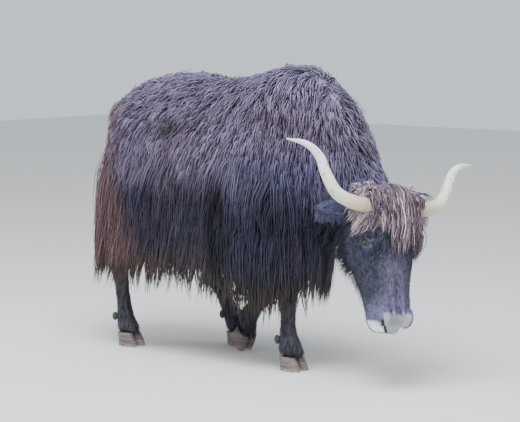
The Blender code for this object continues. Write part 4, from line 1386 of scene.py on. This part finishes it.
forelock = {
    "locks": 300,
    "length": 0.215,
    "perLock": 10,
    "spread": (0.010, 0.011, 0.004),
    "halfWidth": (0.0010, 0.0021),
    "wave": 0.009,
    "tone": (0.45, 0.22, 0.14),
}

crownWool = {
    "locks": 420,
    "perLock": 7,
    "spread": (0.012, 0.015, 0.009),
    "halfWidth": (0.0009, 0.0019),
    "wave": 0.009,
    "tone": (0.66, 0.20, 0.14),
}

earFringe = {
    "locks": 34,
    "perLock": 9,
    "spread": (0.010, 0.008, 0.004),
    "halfWidth": (0.0009, 0.0016),
    "wave": 0.004,
    "tone": (0.35, 0.15, 0.0),
}

throatHair = {
    "locks": 70,
    "perLock": 12,
    "spread": (0.028, 0.020, 0.006),
    "halfWidth": (0.0016, 0.0030),
    "wave": 0.006,
    "tone": (0.32, 0.13, 0.0),
}


def browHeight(x, y):
    # height of the forehead over the head's axis, felt for from in front of it
    rows = np.array(face["rows"])
    top, low, wide = (np.interp(x, rows[:, 0], rows[:, k]) for k in (1, 2, 3))
    inside = np.maximum(1 - (abs(y) / (wide * 1.10)) ** 2.3, 0.02)
    guess = (top + low) / 2 + (top - low) / 2 * inside ** 0.45 - face["fur"]
    starts = outOfHead(np.stack([x, y, np.full(len(x), 0.16)], axis=1))
    down = Vector(-headTurn[:, 2])
    for i, start in enumerate(starts):
        hit = skinTree.ray_cast(Vector(start), down, 0.26)
        if hit[0] is not None:
            guess[i] = max(guess[i] - 0.02, 0.16 - hit[3])
    return guess


def headWays(vectors):
    return vectors @ headTurn.T


def makeForelock():
    draw = np.random.default_rng(51)
    locks = forelock["locks"]
    y = draw.uniform(-0.118, 0.134, locks)
    start = draw.uniform(-0.030, 0.085, locks)
    length = forelock["length"] * draw.uniform(0.62, 1.04, locks) - start * 0.35
    length = np.where(y < -0.035, length * draw.uniform(0.42, 0.62, locks), length)
    layer = draw.random(locks)
    drift = draw.normal(0.004, 0.013, locks) + 0.016 * ramp(y, 0.03, 0.12)
    rings = 7
    bob = draw.uniform(0, 2 * pi, locks)
    paths = np.empty((locks, rings, 3))
    for k, at in enumerate(np.linspace(0, 1, rings)):
        px = start + length * at
        py = y + drift * at + 0.006 * np.sin(5 * at + bob) * at
        rise = np.interp(at, [0, 0.15, 0.5, 0.85, 1], [-0.008, 0.014, 0.017, 0.012, 0.006])
        rise = rise + 0.026 * layer * (1 - 0.65 * at)
        paths[:, k] = outOfHead(np.stack([px, py, browHeight(px, py) + rise], axis=1))
    across = headWays(np.tile([0.0, 1.0, 0.0], (locks, 1)))
    outward = headWays(np.tile([0.0, 0.0, 1.0], (locks, 1)))
    lockPiece("forelock", paths, across, outward, forelock, roundHead, 0.004,
              crownMaterial, draw)


def makeCrownWool():
    # curls over the poll and round the roots of the horns
    draw = np.random.default_rng(61)
    locks = crownWool["locks"]
    y = draw.uniform(-0.130, 0.128, locks)
    x = draw.uniform(-0.035, 0.085, locks)
    z = 0.092 - 0.050 * (abs(y) / 0.13) ** 2 - 0.5 * np.maximum(-x, 0)
    root = np.stack([x, y, z - 0.012], axis=1)
    away = unit(np.stack([draw.normal(0.35, 0.55, locks), y * 9.0 + draw.normal(0, 0.5, locks),
                          np.full(locks, 0.50)], axis=1))
    length = draw.uniform(0.050, 0.088, locks)
    curl = unit(draw.normal(size=(locks, 3)))
    rings = 6
    paths = np.empty((locks, rings, 3))
    for k, at in enumerate(np.linspace(0, 1, rings)):
        bend = np.array([0.55, 0, -0.85]) * at * at
        spot = root + (away * at + bend) * length[:, None] + curl * (0.012 * np.sin(3.4 * at))
        paths[:, k] = outOfHead(spot)
    outward = headWays(np.tile([0.0, 0.0, 1.0], (locks, 1)))
    across = unit(np.cross(headWays(away), outward) + draw.normal(0, 0.2, (locks, 3)))
    lockPiece("crown_wool", paths, across, outward, crownWool, roundHead, 0.004,
              crownMaterial, draw)


def makeEarFringe():
    draw = np.random.default_rng(71)
    locks = earFringe["locks"] * 2
    side = np.where(np.arange(locks) % 2 == 0, 1, -1)
    share = draw.uniform(0.10, 0.95, locks)
    rings = 6
    paths = np.empty((locks, rings, 3))
    for i in range(locks):
        matrix = earFrames[side[i]]
        edge = -ears["width"] * 0.55 * (1 - abs(share[i] - 0.5) ** 2 * 2.2)
        root = matrix[:3, :3] @ np.array([0.004, side[i] * ears["length"] * share[i], edge]) + matrix[:3, 3]
        drop = draw.uniform(0.030, 0.055)
        out = matrix[:3, 1] * side[i]
        for k, at in enumerate(np.linspace(0, 1, rings)):
            paths[i, k] = root + out * 0.018 * at + np.array([0, 0, -drop * at])
    outward = np.array([matrix[:3, 0] for matrix in (earFrames[s] for s in side)])
    across = np.array([earFrames[s][:3, 1] for s in side])
    lockPiece("ear_fringe", paths, across, outward, earFringe, roundHead, 0.004,
              faceMaterial, draw)


def makeThroatHair():
    draw = np.random.default_rng(81)
    locks = throatHair["locks"]
    t = draw.uniform(0.36, 0.86, locks)
    rows = np.array([alongStations(body["neck"], s) for s in t])
    side = draw.uniform(-1, 1, locks)
    root = np.stack([rows[:, 0] - 0.03, rows[:, 1] + side * rows[:, 3] * 0.62,
                     rows[:, 2] - rows[:, 4] * (0.80 - 0.25 * abs(side))], axis=1)
    drop = draw.uniform(0.10, 0.17, locks)
    rings = 6
    paths = np.empty((locks, rings, 3))
    for k, at in enumerate(np.linspace(0, 1, rings)):
        paths[:, k] = root + np.stack([-0.055 * at * np.ones(locks), side * 0.02 * at, -drop * at], axis=1)
    outward = unit(np.stack([np.full(locks, 0.2), side, np.full(locks, -0.2)], axis=1))
    across = np.tile([1.0, 0.0, 0.0], (locks, 1))
    lockPiece("throat_hair", paths, across, outward, throatHair, roundBody, 0.006,
              coatMaterial, draw)


makeForelock()
makeCrownWool()
makeEarFringe()
makeThroatHair()


# Horns, eyes, claws

def finished(made, name, finish, nodes=(), smooth=60):
    made.name = name
    made.data.name = name
    made.data.transform(Matrix.Translation(place))
    made.data.materials.clear()
    made.data.materials.append(finish)
    made.data.shade_smooth()
    made.data.set_sharp_from_angle(angle=radians(smooth))
    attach(made, "root")
    if nodes:
        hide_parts(*nodes)
    return made


horn = {
    "base": (0.055, 0.088, 0.058),
    "path": (             # from the root: sideways, backwards, upwards, radius
        (-0.045, 0.000, -0.010, 0.031),
        (0.030, 0.000, 0.000, 0.031),
        (0.090, 0.012, 0.008, 0.0285),
        (0.150, 0.034, 0.034, 0.0260),
        (0.190, 0.058, 0.092, 0.0230),
        (0.218, 0.080, 0.152, 0.0190),
        (0.268, 0.106, 0.190, 0.0130),
        (0.340, 0.134, 0.200, 0.0030),
    ),
    "reach": {1: (1.0, 1.0), -1: (1.05, 1.16)},
    "rings": 90,
}


def hornForm(side):
    wider, higher = horn["reach"][side]
    lateral = (headPlace.to_3x3() @ Vector((0, side, 0))).normalized()
    back = Vector((-cos(head["yaw"]), -sin(head["yaw"]), 0))
    rise = lateral.cross(back) * side
    rise = rise if rise.z > 0 else -rise
    root = headPlace @ flipped(horn["base"], side)
    rows = []
    for out, behind, high, radius in horn["path"]:
        spot = root + lateral * out * wider + back * behind + rise * high * higher
        rows.append((*spot, radius, radius))
    bm = bmesh.new()
    rings = horn["rings"]
    loft(bm, rows, rings, 28, side=back)
    along = bm.verts.layers.float.new("along")
    centres = [Vector(alongStations(rows, i / 200)[:3]) for i in range(201)]
    for vert in bm.verts:
        nearest = min(range(0, 201, 2), key=lambda i: (centres[i] - vert.co).length_squared)
        t = nearest / 200
        vert[along] = t
        away = vert.co - centres[nearest]
        ridges = 0.0012 * sin(t * 190) * max(0.0, 1 - t / 0.45)
        if away.length > 0.002:
            vert.co += away.normalized() * ridges
    return objectFrom("horn", bm)


def hornFinish():
    paint = Paint("hornIvory", roughness=0.42, Specular_IOR_Level=0.45)
    along = paint.attribute("along")
    grain = paint.noise(paint.spot, 38.0, 4.0, 0.6)
    fine = paint.noise(paint.spot, 210.0, 3.0, 0.6)
    colour = paint.add("ShaderNodeValToRGB", {"stops": (
        (0.0, (0.26, 0.20, 0.12)), (0.26, (0.55, 0.47, 0.33)), (0.46, (0.74, 0.70, 0.61)),
        (0.78, (0.78, 0.79, 0.82)), (1.0, (0.70, 0.66, 0.60)))}, {"Fac": along})
    midway = paint.smooth(along, 0.35, 0.50) * (1 - paint.smooth(along, 0.72, 0.86))
    colour = paint.blend(paint.smooth(grain, 0.50, 0.72) * midway * 0.75, colour, (0.20, 0.21, 0.27))
    colour = paint.blend(paint.smooth(fine, 0.45, 0.80) * 0.30, colour, (0.36, 0.32, 0.25))
    paint.feed("Base Color", colour)
    paint.feed("Roughness", 0.34 + grain * 0.22)
    paint.feed("Normal", paint.bump(grain + fine * 0.5, 0.0012, 0.6))
    return paint.material


hornMaterial = hornFinish()
for side, word in ((1, "left"), (-1, "right")):
    finished(hornForm(side), "horn_sheath_" + word, hornMaterial, ["horn_" + word])


def eyeFinish():
    paint = Paint("eyeDark", roughness=0.07, Coat_Weight=0.6, Coat_Roughness=0.03)
    x, y, z = paint.split(headPlaceOf(paint))
    up, out = sin(face["eyeUp"]), cos(face["eyeUp"])
    along = x - face["eye"][0]
    across = (z - face["eye"][2]) * out - (abs(y) - face["eye"][1]) * up
    off = (along * along + across * across) ** 0.5
    streaks = paint.noise(paint.spot, 900.0, 2.0)
    colour = paint.blend(paint.smooth(off, 0.0115, 0.0135), (0.022, 0.011, 0.007), (0.060, 0.048, 0.046))
    colour = paint.blend(paint.smooth(streaks, 0.4, 0.7) * 0.4, colour, (0.012, 0.007, 0.006))
    pupil = (along * along + across * across * 4.0) ** 0.5
    colour = paint.blend(1 - paint.smooth(pupil, 0.0080, 0.0092), colour, (0.002, 0.002, 0.003))
    paint.feed("Base Color", colour)
    return paint.material


eyeMaterial = eyeFinish()
for side, word in ((1, "left"), (-1, "right")):
    bm = bmesh.new()
    radius = face["eyeRadius"]
    ellipsoid(bm, flipped(face["eye"], side), (radius,) * 3, 40, 28)
    for vert in bm.verts:      # the clear front stands a little out
        local = vert.co - flipped(face["eye"], side)
        front = max(0.0, local.y * side / radius - 0.80) / 0.20
        vert.co += local.normalized() * 0.0005 * front
    bmesh.ops.transform(bm, matrix=headPlace, verts=bm.verts[:])
    finished(objectFrom("eyeball", bm), "eyeball_" + word, eyeMaterial, ["eye_" + word])


claw = {
    "rows": (
        (0.014, 0.0, -0.062, 0.0265, 0.050),
        (0.013, 0.0, -0.052, 0.0268, 0.0498),
        (0.009, 0.0, -0.034, 0.0262, 0.0465),
        (0.003, 0.0, -0.018, 0.0258, 0.0430),
        (-0.004, 0.0, 0.000, 0.0245, 0.038),
    ),
}


def clawForm(name, side):
    bm = bmesh.new()
    loft(bm, claw["rows"], 26, 28, plane=(0, 0, 1))
    where = footFrame(name) @ Matrix.Translation((0, side * 0.0275, 0))
    bmesh.ops.transform(bm, matrix=where, verts=bm.verts[:])
    made = objectFrom("claw", bm)
    return boolean(made, [halfSpace((0, 0, 0), (0, 0, -1))], "DIFFERENCE")


def clawFinish():
    paint = Paint("clawHorn", roughness=0.5)
    z = paint.split(paint.spot)[2]
    rings = paint.noise(paint.spot, 24.0, 3.0, 0.6, stretch=(0.6, 0.6, 7.0))
    scuffs = paint.noise(paint.spot, 70.0, 4.0, 0.7)
    colour = paint.blend(paint.smooth(rings, 0.35, 0.65), (0.075, 0.062, 0.060), (0.185, 0.150, 0.140))
    rubbed = (1 - paint.smooth(z, 0.0, 0.022)) * paint.smooth(scuffs, 0.35, 0.6)
    colour = paint.blend(rubbed, colour, (0.33, 0.27, 0.23))
    colour = paint.blend(paint.smooth(z, 0.075, 0.095), colour, (0.030, 0.027, 0.030))      # dewclaws
    paint.feed("Base Color", colour)
    paint.feed("Roughness", 0.42 + scuffs * 0.3)
    paint.feed("Normal", paint.bump(rings + scuffs * 0.4, 0.0020, 0.7))
    return paint.material


clawMaterial = clawFinish()
for foot in feet:
    for side, word in ((1, "left"), (-1, "right")):
        finished(clawForm(foot, side), "claw_" + foot + "_" + word, clawMaterial,
                 ["hoof_" + foot + "_" + word], 40)
        centre, pitch = dewclaws[foot]
        bm = bmesh.new()
        turn = Matrix.Rotation(pitch, 4, "Y")
        spot = Vector(centre) + Vector((0, side * 0.023, 0))
        ellipsoid(bm, spot, (0.0150, 0.0105, 0.0195), 20, 14, turn)
        finished(objectFrom("dewclaw", bm), "spur_" + foot + "_" + word, clawMaterial,
                 ["dewclaw_" + foot + "_" + word])

fleshNodes = ["torso", "neck", "head", "tail", "ear_left", "ear_right"] + ["leg_" + name for name in legs]
finished(skin, "skin", skinMaterial, fleshNodes, 50)
print("horns, eyes and claws")


# Floor, light and camera

def makeStage():
    bm = bmesh.new()
    bmesh.ops.create_grid(bm, x_segments=1, y_segments=1, size=14.0)
    mesh = bpy.data.meshes.new("floor")
    bm.to_mesh(mesh)
    bm.free()
    floor = bpy.data.objects.new("floor", mesh)
    bpy.context.scene.collection.objects.link(floor)
    paint = Paint("floorPale", roughness=0.9)
    paint.shader.inputs["Base Color"].default_value = (0.72, 0.72, 0.70, 1.0)
    mesh.materials.append(paint.material)


def makeLight(name, spot, size, power, colour):
    data = bpy.data.lights.new(name, "AREA")
    data.size = size
    data.energy = power
    data.color = colour
    lamp = bpy.data.objects.new(name, data)
    lamp.location = spot
    lamp.rotation_euler = (Vector((0.0, 0.0, 0.7)) - Vector(spot)).to_track_quat("-Z", "Y").to_euler()
    bpy.context.scene.collection.objects.link(lamp)


def makeWorld():
    world = bpy.data.worlds.new("sky")
    world.use_nodes = True
    background = world.node_tree.nodes["Background"]
    background.inputs["Color"].default_value = (0.86, 0.92, 1.0, 1.0)
    background.inputs["Strength"].default_value = 0.95
    bpy.context.scene.world = world


view = {
    "turn": radians(40.0),
    "distance": 8.6,
    "height": 1.55,
    "aimAlong": 0.10,
    "aimHeight": 0.64,
    "lens": 135.0,
}


def makeCamera():
    turn = view["turn"]
    aim = Vector((view["aimAlong"] * cos(turn), view["aimAlong"] * sin(turn), view["aimHeight"]))
    eye = aim + Vector((sin(turn), -cos(turn), 0)) * view["distance"]
    eye.z = view["height"]
    data = bpy.data.cameras.new("camera")
    data.lens = view["lens"]
    data.sensor_width = 36.0
    camera = bpy.data.objects.new("camera", data)
    camera.location = eye + place
    camera.rotation_euler = (aim - eye).to_track_quat("-Z", "Y").to_euler()
    bpy.context.scene.collection.objects.link(camera)
    bpy.context.scene.camera = camera


makeStage()
makeWorld()
makeLight("skylight", (1.0, -2.0, 5.5), 4.0, 560, (0.94, 0.96, 1.0))
makeLight("side", (-4.5, -3.5, 2.6), 3.0, 110, (1.0, 0.98, 0.95))
makeLight("front", (5.0, -4.0, 2.2), 3.0, 130, (1.0, 0.99, 0.97))
makeCamera()
